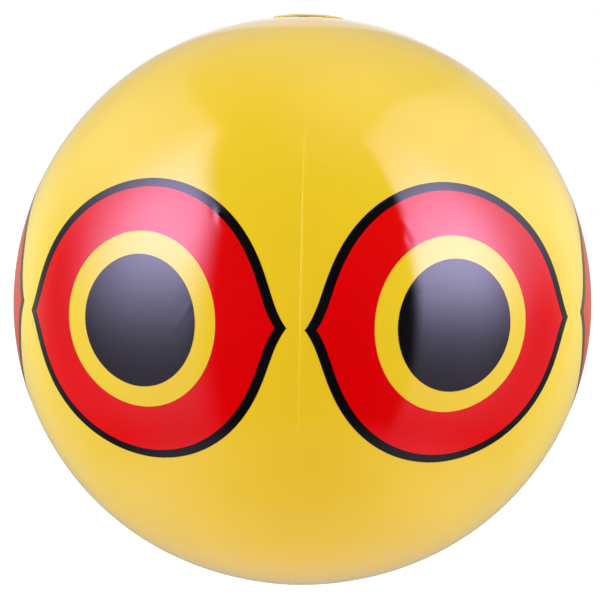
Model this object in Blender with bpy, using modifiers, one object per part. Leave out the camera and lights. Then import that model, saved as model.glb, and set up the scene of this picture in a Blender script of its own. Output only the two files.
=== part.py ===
"""Bird scare balloon: six welded PVC gores with printed eyes, pole caps, a hanging tab and a push-in valve.

Metres, +Z up. The origin is under the ball's middle, on the surface that the lower cap rests on.
The front, with the seam between two eyes, faces -Y.
"""
import math

import bmesh
import bpy
from mathutils import Matrix, Vector

# Inflated ball
RADIUS = 0.200  # mean radius at the equator
HALF_HEIGHT = 0.1964  # from the ball's centre to the outer face of a pole cap
SEAM_SWELL = 0.003  # how far the film swells out at a seam and sinks in between two seams
FILM = 0.00025  # thickness of the film
GAP = 0.0003  # clearance between pieces that are welded together or rest on each other
LAP = 0.005  # width of a lap weld
JOGGLE = 0.0015  # width of the step that takes the lower edge of a lap under the upper one
TIP_ROOM_SHARE = 1.6  # a gore's width at the pole hole, as a share of its lap and joggle

# Gores, named from the front seam round to the right
POSITIONS = ("front_right", "side_right", "rear_right", "rear_left", "side_left", "front_left")
GORES = len(POSITIONS)
GORE_ANGLE = math.tau / GORES
PANEL_COLUMNS = 7
ROWS = 20

# Printed eyes
INK = 0.0002  # thickness of an ink layer
INK_LIFT = 0.0005  # from the film to the ink's inner face, so that the film's facets stay clear of it
EYE_HALF_HEIGHT = 0.0875
EYE_MARGIN = 0.0104  # from an eye's tip to the seam, when the eye is in the middle of its gore
EYE_TIP = 0.0085  # how far a tip reaches past the oval of the eye
EYE_STROKE = 0.0055  # width of the black outline
PUPIL_RADIUS = 0.040
RING_WIDTH = 0.0135  # bare yellow film between the pupil and the iris
TIP_SPREAD = math.radians(5.4)  # angle over which a tip flattens out into the oval
INNER_TIP_SHARE = 0.7
CROWDING = 1.5  # how strongly the outline's points gather at the tips
QUARTER_POINTS = 9
PUPIL_QUARTER_POINTS = 5
IRIS_RINGS = 2
PUPIL_RINGS = 3

# Place of each eye on its gore: shift and rise as shares of the margin, and a tilt in degrees
PRINT_SHARES = {
    "front_right": (-0.90, -0.09, 0.0),
    "side_right": (-0.90, 0.03, 0.0),
    "rear_right": (-0.35, 0.20, 0.3),
    "rear_left": (0.20, -0.15, -0.3),
    "side_left": (0.78, 0.77, 0.0),
    "front_left": (0.18, 0.12, -0.85),
}

# Pole caps
CAP_RADIUS = 0.025
CAP_THICKNESS = 0.0012
CAP_EDGE = 0.0004  # bevel on the cap's rim
WELD_DEPTH = 0.0003  # depth of the ring that the weld presses into the cap
WELD_WIDTH = 0.003
WELD_BORDER = 0.0022  # flat border outside the pressed ring
CAP_STEPS = 24

# Hanging tab, folded flat towards the rear
TAB_WIDTH = 0.030
TAB_REACH = 0.0385  # from the fold to the tab's round end
TAB_THICKNESS = 0.0010
TAB_FOOT = 0.014  # from the fold to the front edge of the welded foot
TAB_CORNER = 0.004
TAB_HOLE_RADIUS = 0.0042
TAB_HOLE_EDGE = 0.0075  # from the middle of the hole to the tab's round end
CORNER_POINTS = 4
TAB_END_POINTS = 12
HOLE_POINTS = 16

# Valve, on the rear right gore, below the eye
VALVE_LATITUDE = math.radians(-55)
VALVE_GORE = POSITIONS.index("rear_right")
FLANGE_RADIUS = 0.017
FLANGE_THICKNESS = 0.0008
FLANGE_EDGE = 0.0003
FLANGE_BORDER = 0.005  # flat film around the flange
COLLAR_INNER = 0.010
COLLAR_WALL = 0.0008
COLLAR_DEPTH = 0.0022  # how far the collar reaches in past the film
STEM_BORE = 0.0042
STEM_WALL = 0.0013
STEM_LENGTH = 0.0124
STEM_SUNK = 0.0006  # from the film's face down to the stem's rim, with the valve pushed in
STEM_RIM_RADIUS = 0.0070
STEM_RIM = 0.0012
STEM_EDGE = 0.0004
MEMBRANE = 0.0005
MEMBRANE_TOP = 0.0010  # from the film's face down to the membrane's outer edge
MEMBRANE_DROP = 0.0070  # from the membrane's outer edge down to its inner edge
MEMBRANE_POINTS = 6
PLUG_RADIUS = 0.0075
PLUG_HEAD = 0.0016
PLUG_EDGE = 0.0005
SPIGOT_LENGTH = 0.0070
SPIGOT_LEAD = 0.0018  # tapered lead-in at the spigot's end
SPIGOT_TAPER = 0.0008
LIP_REACH = 0.0018  # how far the finger lip stands out from the plug's head
LIP_WIDTH = 0.0034
LIP_THICKNESS = 0.0008
FLAP_RADIUS = 0.0050
FLAP_THICKNESS = 0.0007
FLAP_HINGE = 0.0058  # from the stem's axis to the flap's hinge line
FLAP_TONGUE = 0.0030
STRAP_WIDTH = 0.0030
STRAP_THICKNESS = 0.0006
STRAP_LOOP = 0.0075  # from the plug's head to the far end of the strap's loop
STRAP_BEND = 0.0009  # radius of the strap's return bend, on its middle line
STRAP_STEPS = 6
TURNED_STEPS = 20

# Worked out from the sizes above
CENTRE = Vector((0, 0, HALF_HEIGHT))
UNDER_DEPTH = FILM + GAP
FLAT_HEIGHT = HALF_HEIGHT - CAP_THICKNESS - GAP
POLE_AXIS = FLAT_HEIGHT / math.sqrt(1 - (CAP_RADIUS / RADIUS) ** 2)
POLE_HOLE = TIP_ROOM_SHARE * (LAP + JOGGLE) / GORE_ANGLE
GORE_WIDTH = RADIUS * GORE_ANGLE
STEM_RADIUS = STEM_BORE + STEM_WALL
STEM_END = STEM_SUNK + STEM_LENGTH

YELLOW = (0.86, 0.58, 0.035)
BLACK = (0.006, 0.005, 0.005)
RED = (0.68, 0.002, 0.002)
MILKY = (0.78, 0.76, 0.66)


def start_scene():
    """Empty the file and make the collection for the part and the one for its cutters."""
    for item in list(bpy.data.objects):
        bpy.data.objects.remove(item, do_unlink=True)
    collections = []
    for name in ("bird_scare_balloon", "cutters"):
        collection = bpy.data.collections.new(name)
        bpy.context.scene.collection.children.link(collection)
        collections.append(collection)
    return collections


def finish(item, colour, roughness):
    """Give a piece its own plastic material."""
    material = bpy.data.materials.new(item.name)
    material.use_nodes = True
    shader = material.node_tree.nodes["Principled BSDF"]
    shader.inputs["Base Color"].default_value = (*colour, 1)
    shader.inputs["Roughness"].default_value = roughness
    shader.inputs["Metallic"].default_value = 0
    item.data.materials.append(material)


def new_piece(name, data, collection, parent=None):
    """Put a mesh or curve into the scene as a named piece."""
    item = bpy.data.objects.new(name, data)
    collection.objects.link(item)
    item.parent = parent
    return item


def new_mesh(name, bm):
    """Turn a bmesh into a mesh that is shaded smooth."""
    mesh = bpy.data.meshes.new(name)
    bm.to_mesh(mesh)
    bm.free()
    mesh.shade_smooth()
    return mesh


def add_wall(item, thickness, offset):
    """Thicken an open surface into a shell."""
    wall = item.modifiers.new("wall", "SOLIDIFY")
    wall.thickness = thickness
    wall.offset = offset
    wall.use_even_offset = True


def add_boolean(item, other, operation):
    """Cut a piece with another object, or join that object to it."""
    boolean = item.modifiers.new(other.name, "BOOLEAN")
    boolean.operation = operation
    boolean.solver = "EXACT"
    boolean.object = other


def hide_cutter(item):
    """Keep a cutter out of the part."""
    item.hide_render = True
    item.display_type = "WIRE"


def swollen_point(azimuth, latitude):
    """Point of the inflated film seen from the ball's centre, before anything flattens it."""
    swell = SEAM_SWELL * math.cos(GORES * azimuth) * math.cos(latitude)
    reach = math.cos(latitude) * (RADIUS + swell)
    return Vector((
        reach * math.sin(azimuth),
        -reach * math.cos(azimuth),
        POLE_AXIS * math.sin(latitude),
    ))


def flat_spots():
    """Direction and distance of each plane that flattens the film: two pole caps and the valve's flange."""
    valve_point = swollen_point((VALVE_GORE + 1 / 2) * GORE_ANGLE, VALVE_LATITUDE)
    spot_radius = FLANGE_RADIUS + FLANGE_BORDER
    valve_height = math.sqrt(valve_point.length ** 2 - spot_radius ** 2)
    return (
        (Vector((0, 0, 1)), FLAT_HEIGHT),
        (Vector((0, 0, -1)), FLAT_HEIGHT),
        (valve_point.normalized(), valve_height),
    )


FLAT_SPOTS = flat_spots()


def film_point(azimuth, latitude, depth):
    """Point of the film's outer face, sunk by a depth, or raised where the depth is negative."""
    point = swollen_point(azimuth, latitude)
    point -= depth * point.normalized()
    for axis, height in FLAT_SPOTS:
        excess = point.dot(axis) - (height - depth)
        if excess > 0:
            point -= excess * axis
    return CENTRE + point


def gore_latitude(row):
    """Latitude of a row of a gore. The first and the last one run round the pole holes."""
    cap_latitude = math.acos(CAP_RADIUS / RADIUS)
    if row == 0:
        return -math.acos(POLE_HOLE / RADIUS)
    if row == ROWS + 2:
        return math.acos(POLE_HOLE / RADIUS)
    return cap_latitude * (2 * (row - 1) / ROWS - 1)


def gore_column(column, row_radius):
    """Distance of a column from its gore's first seam, along the row, and its depth under the outer face."""
    width = row_radius * GORE_ANGLE
    if column == 0:
        return 0, 0
    if column == PANEL_COLUMNS + 2:
        return width, UNDER_DEPTH
    if column == PANEL_COLUMNS + 3:
        return width + LAP, UNDER_DEPTH
    panel = width - LAP - JOGGLE
    return LAP + panel * (column - 1) / PANEL_COLUMNS, 0


def build_gore(index, collection):
    """One gore of film from pole to pole, over its neighbour at one seam and under it at the other."""
    columns = PANEL_COLUMNS + 3
    rows = ROWS + 2
    bm = bmesh.new()
    bmesh.ops.create_grid(bm, x_segments=columns, y_segments=rows, size=1)
    for vert in bm.verts:
        latitude = gore_latitude(round((vert.co.y + 1) / 2 * rows))
        row_radius = RADIUS * math.cos(latitude)
        along, depth = gore_column(round((vert.co.x + 1) / 2 * columns), row_radius)
        vert.co = film_point(index * GORE_ANGLE + along / row_radius, latitude, depth)
    name = "gore_" + POSITIONS[index]
    gore = new_piece(name, new_mesh(name, bm), collection)
    add_wall(gore, FILM, -1)
    finish(gore, YELLOW, 0.25)
    return gore


def almond_radius(angle, half_width, half_height, tip):
    """Distance from an eye's middle to its outline: an oval with a drawn-out tip at each side."""
    oval = 1 / math.hypot(math.cos(angle) / half_width, math.sin(angle) / half_height)
    from_tip = math.asin(min(abs(math.sin(angle)), 1))
    return oval + tip * math.exp(-from_tip / TIP_SPREAD)


def outline_outer(angle):
    """Outer edge of the black outline."""
    half_width = GORE_WIDTH / 2 - EYE_MARGIN - EYE_TIP
    return almond_radius(angle, half_width, EYE_HALF_HEIGHT, EYE_TIP)


def outline_inner(angle):
    """Inner edge of the black outline."""
    half_width = GORE_WIDTH / 2 - EYE_MARGIN - EYE_TIP - EYE_STROKE
    return almond_radius(angle, half_width, EYE_HALF_HEIGHT - EYE_STROKE, EYE_TIP * INNER_TIP_SHARE)


def iris_outer(angle):
    """Outer edge of the red iris, just inside the outline."""
    return outline_inner(angle) - GAP


def iris_inner(angle):
    """Inner edge of the red iris, round the ring of bare film."""
    return PUPIL_RADIUS + RING_WIDTH


def pupil_outer(angle):
    """Edge of the round pupil."""
    return PUPIL_RADIUS


def pupil_inner(angle):
    """The pupil is filled to its middle."""
    return 0


def crowded_angle(share):
    """Angle at a share of the turn, with the points gathered at the two tips."""
    quarter = min(int(share * 4), 3)
    part = share * 4 - quarter
    if quarter % 2 == 0:
        turned = part ** CROWDING
    else:
        turned = 1 - (1 - part) ** CROWDING
    return math.pi / 2 * (quarter + turned)


def print_point(index, across, up):
    """Place a point of the flat print on its inflated gore."""
    shift_share, rise_share, tilt = PRINT_SHARES[POSITIONS[index]]
    turned = Matrix.Rotation(math.radians(tilt), 2) @ Vector((across, up))
    latitude = (turned.y + rise_share * EYE_MARGIN) / RADIUS
    azimuth = (turned.x / math.cos(latitude) + shift_share * EYE_MARGIN) / RADIUS
    return film_point((index + 1 / 2) * GORE_ANGLE + azimuth, latitude, -INK_LIFT)


def build_print(layer, index, edges, rings, quarter_points, colour, collection):
    """One ink layer of an eye, drawn flat between its two edges and wrapped on its gore."""
    outer, inner = edges
    bm = bmesh.new()
    bmesh.ops.create_grid(bm, x_segments=4 * quarter_points, y_segments=rings, size=1)
    for vert in bm.verts:
        angle = crowded_angle((vert.co.x + 1) / 2)
        inward = (vert.co.y + 1) / 2
        reach = outer(angle) * (1 - inward) + inner(angle) * inward
        vert.co = print_point(index, reach * math.cos(angle), reach * math.sin(angle))
    bmesh.ops.remove_doubles(bm, verts=bm.verts, dist=INK / 4)
    name = f"eye_{layer}_{POSITIONS[index]}"
    ink = new_piece(name, new_mesh(name, bm), collection)
    add_wall(ink, INK, 1)
    finish(ink, colour, 0.3)


def build_eye(index, collection):
    """The three ink layers of one eye."""
    build_print("outline", index, (outline_outer, outline_inner), 1, QUARTER_POINTS, BLACK, collection)
    build_print("iris", index, (iris_outer, iris_inner), IRIS_RINGS, QUARTER_POINTS, RED, collection)
    build_print(
        "pupil", index, (pupil_outer, pupil_inner), PUPIL_RINGS, PUPIL_QUARTER_POINTS, BLACK, collection
    )


def build_turned(name, profile, closed, steps, collection, parent):
    """A piece turned about Z from a profile that runs down its outer side."""
    bm = bmesh.new()
    verts = [bm.verts.new((radius, 0, height)) for radius, height in profile]
    for start, end in zip(verts, verts[1:]):
        bm.edges.new((start, end))
    if closed:
        bm.edges.new((verts[-1], verts[0]))
    piece = new_piece(name, new_mesh(name, bm), collection, parent)
    turn = piece.modifiers.new("turn", "SCREW")
    turn.steps = steps
    turn.render_steps = steps
    turn.use_merge_vertices = True
    turn.merge_threshold = GAP / 30
    turn.use_smooth_shade = True
    return piece


def cap_profile():
    """Half section of a pole cap, from its outer face's middle to its inner face's middle."""
    top = CAP_THICKNESS
    ring_outer = CAP_RADIUS - WELD_BORDER
    ring_inner = ring_outer - WELD_WIDTH
    return [
        (0, top),
        (ring_inner, top),
        (ring_inner + WELD_DEPTH, top - WELD_DEPTH),
        (ring_outer - WELD_DEPTH, top - WELD_DEPTH),
        (ring_outer, top),
        (CAP_RADIUS - CAP_EDGE, top),
        (CAP_RADIUS, top - CAP_EDGE),
        (CAP_RADIUS, 0),
        (0, 0),
    ]


def build_caps(collection):
    """The two round caps that cover the gores' tips at the poles."""
    for name, side in (("top_cap", 1), ("bottom_cap", -1)):
        cap = build_turned(name, cap_profile(), False, CAP_STEPS, collection, None)
        cap.location = CENTRE + Vector((0, 0, side * (HALF_HEIGHT - CAP_THICKNESS)))
        if side < 0:
            cap.rotation_euler.x = math.pi
        finish(cap, YELLOW, 0.28)


def arc_points(middle, radius, start, end, points):
    """Points along an arc, both ends included."""
    angles = [start + (end - start) * step / points for step in range(points + 1)]
    return [(middle[0] + radius * math.cos(a), middle[1] + radius * math.sin(a)) for a in angles]


def flat_curve(name, outlines, thickness, collection, parent):
    """A flat piece with the given outline and holes, extruded to its thickness."""
    curve = bpy.data.curves.new(name, "CURVE")
    curve.dimensions = "2D"
    curve.fill_mode = "BOTH"
    curve.extrude = thickness / 2
    for outline in outlines:
        spline = curve.splines.new("POLY")
        spline.points.add(len(outline) - 1)
        for point, (x, y) in zip(spline.points, outline):
            point.co = (x, y, 0, 1)
        spline.use_cyclic_u = True
    return new_piece(name, curve, collection, parent)


def foot_outline():
    """The welded foot, with its fold at y = 0 and round corners in front."""
    half = TAB_WIDTH / 2
    side = half - TAB_CORNER
    front = TAB_CORNER - TAB_FOOT
    left = arc_points((-side, front), TAB_CORNER, math.pi, math.pi * 3 / 2, CORNER_POINTS)
    right = arc_points((side, front), TAB_CORNER, math.pi * 3 / 2, math.tau, CORNER_POINTS)
    return [(-half, -GAP / 2)] + left + right + [(half, -GAP / 2)]


def tab_outline():
    """The free tab, with its fold at y = 0 and a round end."""
    half = TAB_WIDTH / 2
    end = arc_points((0, TAB_REACH - half), half, 0, math.pi, TAB_END_POINTS)
    return [(-half, GAP / 2), (half, GAP / 2)] + end


def build_tab(collection):
    """The hanging tab: a foot welded on the top cap and a free tab with the cord's hole."""
    fold = bpy.data.objects.new("tab_fold", None)
    collection.objects.link(fold)
    fold.location = (0, 0, 2 * HALF_HEIGHT + GAP + TAB_THICKNESS + GAP / 2)
    under_fold = -(TAB_THICKNESS + GAP) / 2
    foot = flat_curve("tab_foot", [foot_outline()], TAB_THICKNESS, collection, fold)
    hole_middle = (0, TAB_REACH - TAB_HOLE_EDGE)
    hole = arc_points(hole_middle, TAB_HOLE_RADIUS, 0, math.tau, HOLE_POINTS)[:-1]
    tab = flat_curve("hang_tab", [tab_outline(), hole], TAB_THICKNESS, collection, fold)
    for piece in (foot, tab):
        piece.location.z = under_fold
        finish(piece, YELLOW, 0.3)


def build_block(name, size, location, collection, parent):
    """A block that is joined to a turned piece."""
    bm = bmesh.new()
    bmesh.ops.create_cube(bm, size=1)
    bmesh.ops.scale(bm, verts=bm.verts, vec=size)
    block = new_piece(name, new_mesh(name, bm), collection, parent)
    block.location = location
    hide_cutter(block)
    return block


def base_profile():
    """Half section of the valve's base: a flange on the film and a collar through it."""
    bottom = GAP
    top = bottom + FLANGE_THICKNESS
    collar_outer = COLLAR_INNER + COLLAR_WALL
    return [
        (COLLAR_INNER + FLANGE_EDGE, top),
        (FLANGE_RADIUS - FLANGE_EDGE, top),
        (FLANGE_RADIUS, top - FLANGE_EDGE),
        (FLANGE_RADIUS, bottom),
        (collar_outer, bottom),
        (collar_outer, -COLLAR_DEPTH),
        (COLLAR_INNER, -COLLAR_DEPTH),
        (COLLAR_INNER, top - FLANGE_EDGE),
    ]


def build_base(gore, seat, collection, cutters):
    """The valve's base, and the hole in the film that its collar goes through."""
    base = build_turned("valve_base", base_profile(), True, TURNED_STEPS, collection, seat)
    finish(base, MILKY, 0.3)
    radius = COLLAR_INNER + COLLAR_WALL + GAP
    bm = bmesh.new()
    bmesh.ops.create_cone(
        bm, cap_ends=True, segments=TURNED_STEPS, radius1=radius, radius2=radius, depth=2 * FLANGE_RADIUS
    )
    cutter = new_piece("valve_hole_cutter", new_mesh("valve_hole_cutter", bm), cutters, seat)
    hide_cutter(cutter)
    add_boolean(gore, cutter, "DIFFERENCE")


def build_membrane(seat, collection):
    """The soft ring between the collar and the stem, rolled inwards with the valve pushed in."""
    outer = COLLAR_INNER - GAP - MEMBRANE / 2
    inner = STEM_RADIUS + GAP
    profile = []
    for step in range(MEMBRANE_POINTS + 1):
        turn = math.pi / 2 * (1 - step / MEMBRANE_POINTS)
        radius = inner + (outer - inner) * math.sin(turn)
        height = -MEMBRANE_TOP - MEMBRANE_DROP * math.cos(turn)
        profile.append((radius, height))
    membrane = build_turned("valve_membrane", profile, False, TURNED_STEPS, collection, seat)
    add_wall(membrane, MEMBRANE, 0)
    finish(membrane, MILKY, 0.35)


def stem_profile():
    """Half section of the stem: a tube with a rim at its outer end."""
    top = -STEM_SUNK
    neck = top - STEM_RIM
    end = -STEM_END
    return [
        (STEM_BORE, top),
        (STEM_RIM_RADIUS - STEM_EDGE, top),
        (STEM_RIM_RADIUS, top - STEM_EDGE),
        (STEM_RIM_RADIUS, neck + STEM_EDGE),
        (STEM_RADIUS, neck - STEM_EDGE),
        (STEM_RADIUS, end),
        (STEM_BORE, end),
    ]


def build_stem(seat, collection):
    """The tube that the air goes in by, which pulls out of the base."""
    stem = build_turned("valve_stem", stem_profile(), True, TURNED_STEPS, collection, seat)
    finish(stem, MILKY, 0.3)


def plug_profile():
    """Half section of the plug: a low head and a spigot with a tapered end."""
    under = -STEM_SUNK + GAP
    top = under + PLUG_HEAD
    spigot = STEM_BORE - GAP
    end = under - SPIGOT_LENGTH
    return [
        (0, top),
        (PLUG_RADIUS - PLUG_EDGE, top),
        (PLUG_RADIUS, top - PLUG_EDGE),
        (PLUG_RADIUS, under),
        (spigot, under),
        (spigot, end + SPIGOT_LEAD),
        (spigot - SPIGOT_TAPER, end),
        (0, end),
    ]


def build_plug(seat, collection, cutters):
    """The plug, with a lip for the finger at one side."""
    plug = build_turned("valve_plug", plug_profile(), False, TURNED_STEPS, collection, seat)
    finish(plug, MILKY, 0.3)
    length = PLUG_RADIUS / 2 + LIP_REACH
    middle = PLUG_RADIUS / 2 + length / 2
    height = -STEM_SUNK + GAP + PLUG_HEAD / 2
    size = (length, LIP_WIDTH, LIP_THICKNESS)
    lip = build_block("plug_lip", size, (middle, 0, height), cutters, seat)
    add_boolean(plug, lip, "UNION")


def build_flap(seat, collection, cutters):
    """The non-return flap under the stem's inner end, hung from a hinge beside the stem."""
    hinge = bpy.data.objects.new("flap_hinge", None)
    collection.objects.link(hinge)
    hinge.parent = seat
    hinge.location = (-FLAP_HINGE, 0, -STEM_END - GAP / 2)
    top = -GAP / 2
    bottom = top - FLAP_THICKNESS
    profile = [(0, top), (FLAP_RADIUS, top), (FLAP_RADIUS, bottom), (0, bottom)]
    flap = build_turned("valve_flap", profile, False, TURNED_STEPS, collection, hinge)
    flap.location.x = FLAP_HINGE
    finish(flap, MILKY, 0.35)
    size = (FLAP_RADIUS, FLAP_TONGUE, FLAP_THICKNESS)
    place = (FLAP_RADIUS / 2, 0, (top + bottom) / 2)
    tongue = build_block("flap_tongue", size, place, cutters, hinge)
    add_boolean(flap, tongue, "UNION")


def strap_path():
    """Middle line of the plug's strap, from the stem's rim out over the flange and back to the plug's head."""
    stem_height = -STEM_SUNK - STEM_RIM / 2
    plug_height = -STEM_SUNK + GAP + PLUG_HEAD / 2
    low = GAP + FLANGE_THICKNESS + GAP + STRAP_THICKNESS / 2
    turn = PLUG_RADIUS + STRAP_LOOP - STRAP_BEND
    bend = arc_points((turn, low + STRAP_BEND), STRAP_BEND, -math.pi / 2, math.pi / 2, STRAP_STEPS)
    climb = (STEM_RIM_RADIUS + COLLAR_INNER) / 2
    return [
        (STEM_RIM_RADIUS + GAP, stem_height),
        (climb, stem_height + STRAP_THICKNESS),
        (COLLAR_INNER, low),
    ] + bend + [
        (COLLAR_INNER, low + 2 * STRAP_BEND),
        (PLUG_RADIUS + GAP, plug_height),
    ]


def build_strap(seat, collection):
    """The strap that keeps the plug, looped over the flange with the plug in."""
    bm = bmesh.new()
    verts = [bm.verts.new((-out, -STRAP_WIDTH / 2, height)) for out, height in strap_path()]
    edges = [bm.edges.new(pair) for pair in zip(verts, verts[1:])]
    sides = bmesh.ops.extrude_edge_only(bm, edges=edges)["geom"]
    moved = [item for item in sides if isinstance(item, bmesh.types.BMVert)]
    bmesh.ops.translate(bm, verts=moved, vec=(0, STRAP_WIDTH, 0))
    strap = new_piece("plug_strap", new_mesh("plug_strap", bm), collection, seat)
    add_wall(strap, STRAP_THICKNESS, 0)
    finish(strap, MILKY, 0.3)


def build_valve(gore, collection, cutters):
    """The valve, on a seat whose Z axis is the way the stem pulls out."""
    axis, height = FLAT_SPOTS[-1]
    seat = bpy.data.objects.new("valve_seat", None)
    collection.objects.link(seat)
    seat.location = CENTRE + height * axis
    seat.rotation_mode = "QUATERNION"
    seat.rotation_quaternion = axis.to_track_quat("Z", "Y")
    build_base(gore, seat, collection, cutters)
    build_membrane(seat, collection)
    build_stem(seat, collection)
    build_plug(seat, collection, cutters)
    build_flap(seat, collection, cutters)
    build_strap(seat, collection)


def main():
    """Build the whole balloon."""
    collection, cutters = start_scene()
    gores = [build_gore(index, collection) for index in range(GORES)]
    for index in range(GORES):
        build_eye(index, collection)
    build_caps(collection)
    build_tab(collection)
    build_valve(gores[VALVE_GORE], collection, cutters)


if __name__ == "__main__":
    main()
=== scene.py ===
"""Looks of the inflatable bird scare balloon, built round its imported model.

Metres, +Z up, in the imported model's own frame. The front faces -Y. A seam runs down its middle, between
two eyes.
"""

import logging
import math
from collections.abc import Callable
from dataclasses import dataclass
from enum import Enum
from functools import cached_property, partial, reduce

import bmesh
import bpy
from mathutils import Matrix, Quaternion, Vector, noise
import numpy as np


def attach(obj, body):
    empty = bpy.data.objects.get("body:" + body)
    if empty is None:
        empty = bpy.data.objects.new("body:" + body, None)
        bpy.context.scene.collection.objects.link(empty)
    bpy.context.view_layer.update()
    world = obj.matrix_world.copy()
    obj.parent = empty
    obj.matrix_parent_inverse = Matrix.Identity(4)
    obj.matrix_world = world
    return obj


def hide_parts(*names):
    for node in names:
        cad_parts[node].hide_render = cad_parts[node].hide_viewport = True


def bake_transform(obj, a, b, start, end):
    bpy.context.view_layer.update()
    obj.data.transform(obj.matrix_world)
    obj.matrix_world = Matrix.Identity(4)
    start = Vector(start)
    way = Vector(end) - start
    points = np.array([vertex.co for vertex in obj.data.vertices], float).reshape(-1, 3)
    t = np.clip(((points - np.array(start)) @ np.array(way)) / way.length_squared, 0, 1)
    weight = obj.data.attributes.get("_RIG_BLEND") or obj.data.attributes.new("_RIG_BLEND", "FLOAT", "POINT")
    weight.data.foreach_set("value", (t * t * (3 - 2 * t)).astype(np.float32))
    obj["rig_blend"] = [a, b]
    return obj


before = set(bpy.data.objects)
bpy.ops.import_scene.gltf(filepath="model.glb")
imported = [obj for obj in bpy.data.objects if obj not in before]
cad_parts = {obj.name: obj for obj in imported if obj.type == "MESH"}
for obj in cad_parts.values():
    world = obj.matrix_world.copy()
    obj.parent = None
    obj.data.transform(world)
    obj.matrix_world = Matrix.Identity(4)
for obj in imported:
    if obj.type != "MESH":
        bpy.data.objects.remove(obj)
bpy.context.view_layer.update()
log = logging.getLogger("scare_balloon")

Socket = bpy.types.NodeSocket
Value = float | tuple[float, ...] | Socket
Colour = tuple[float, float, float]
Spot = tuple[float, float]
Edge = Callable[[float], float]


class Gore(Enum):
    """The six gores of film, in the order of their first seams from the front seam round to the right."""

    FRONT_RIGHT = 0
    SIDE_RIGHT = 1
    REAR_RIGHT = 2
    REAR_LEFT = 3
    SIDE_LEFT = 4
    FRONT_LEFT = 5

    @property
    def label(self) -> str:
        """Name of the gore in plain words."""
        return self.name.lower()


class Pole(Enum):
    """The two ends of the ball's axis, with the side of the middle that they are on."""

    TOP = 1
    BOTTOM = -1


class InkLayer(Enum):
    """The printed layers of an eye."""

    IRIS = "iris"
    OUTLINE = "outline"
    PUPIL = "pupil"


GORE_ANGLE = math.tau / len(Gore)
PLASTIC_IOR = 1.5
# The attribute that holds how strongly the painted highlight along a lap's welded edge shows.
WELD_HIGHLIGHT = "weld"
# Distances within which points are merged, in the solids and in the prints.
MERGE = 0.000001
PRINT_MERGE = 0.00001
# Angle between two faces, in degrees, from which their edge is rounded.
SHARP_EDGE = 35.0
# Azimuths of the ball's side and of its rear, in degrees from the front.
SIDE = 90.0
REAR = 180.0
# Least Z of a level face's normal.
FACING_UP = 0.99
# Noise levels between which a cloud thickens.
CLOUD_EDGES = (0.35, 0.65)
# Shifts that keep the noise of the small waves, of the seams and of the two caps apart.
RIPPLE_SHIFT = Vector((7.0, 3.0, 5.0))
SEAM_SHIFT = 5.0
CAP_SHIFT = 18.0
# Where the puckers round a cap end, as a multiple of their reach.
CAP_PUCKER_END = 5.0


class Graph:
    """Adds the nodes of a material or a world and links them."""

    def __init__(self, tree: bpy.types.NodeTree) -> None:
        """Empty a node tree.

        Args:
            tree: The tree to fill.
        """
        self.tree = tree
        tree.nodes.clear()

    def add(
        self, kind: str, inputs: dict[int | str, Value] | None = None, **settings: object
    ) -> bpy.types.Node:
        """Add a node.

        Args:
            kind: Blender's name for the node.
            inputs: Values, or sockets to link, by the input's name or number.
            **settings: The node's own properties.

        Returns:
            The new node.
        """
        made = self.tree.nodes.new(kind)
        for name, value in settings.items():
            setattr(made, name, value)
        for key, value in (inputs or {}).items():
            if isinstance(value, Socket):
                self.tree.links.new(value, made.inputs[key])
            else:
                made.inputs[key].default_value = value
        return made

    def math(self, operation: str, *values: Value) -> Socket:
        """Result of a Math node."""
        return self.add("ShaderNodeMath", dict(enumerate(values)), operation=operation).outputs[0]

    def ramp(self, value: Value, start: float, end: float, low: float = 0.0, high: float = 1.0) -> Socket:
        """Smooth ramp.

        Args:
            value: What the ramp follows.
            start: Where it leaves its low result.
            end: Where it reaches its high result.
            low: Result at the start and before it.
            high: Result at the end and past it.

        Returns:
            The ramp's result.
        """
        inputs = {"Value": value, "From Min": start, "From Max": end, "To Min": low, "To Max": high}
        return self.add("ShaderNodeMapRange", inputs, interpolation_type="SMOOTHSTEP").outputs["Result"]

    def bell(self, value: Value, middle: float, before: float, after: float) -> Socket:
        """Bell curve whose two sides may differ.

        Args:
            value: What the curve follows.
            middle: Where it is 1.
            before: How far it reaches below its middle.
            after: How far it reaches past its middle.

        Returns:
            The curve's height.
        """
        away = self.math("SUBTRACT", value, middle)
        low = self.math("MINIMUM", self.math("DIVIDE", away, before), 0.0)
        high = self.math("MAXIMUM", self.math("DIVIDE", away, after), 0.0)
        far = self.math("ADD", low, high)
        return self.math("EXPONENT", self.math("MULTIPLY", self.math("MULTIPLY", far, far), -1.0))

    def product(self, *values: Value) -> Socket:
        """All the values multiplied."""
        return reduce(partial(self.math, "MULTIPLY"), values)

    def total(self, *values: Value) -> Socket:
        """All the values added up."""
        return reduce(partial(self.math, "ADD"), values)

    def mix(self, share: Value, first: Value, second: Value) -> Socket:
        """Colour between two colours."""
        return self.add("ShaderNodeMix", {0: share, 6: first, 7: second}, data_type="RGBA").outputs[2]

    def lit(self, base: Value, colour: Colour, amount: Value) -> Socket:
        """Base colour with an amount of another colour added."""
        inputs = {0: colour, 1: amount, 2: base}
        return self.add("ShaderNodeVectorMath", inputs, operation="MULTIPLY_ADD").outputs[0]

    def clouds(self, place: Socket, size: float, detail: float = 2.0) -> Socket:
        """Soft noise from 0 to 1 whose clouds have the given size in metres."""
        inputs = {"Vector": place, "Scale": 1 / size, "Detail": detail, "Roughness": 0.5}
        return self.add("ShaderNodeTexNoise", inputs).outputs["Fac"]


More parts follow.
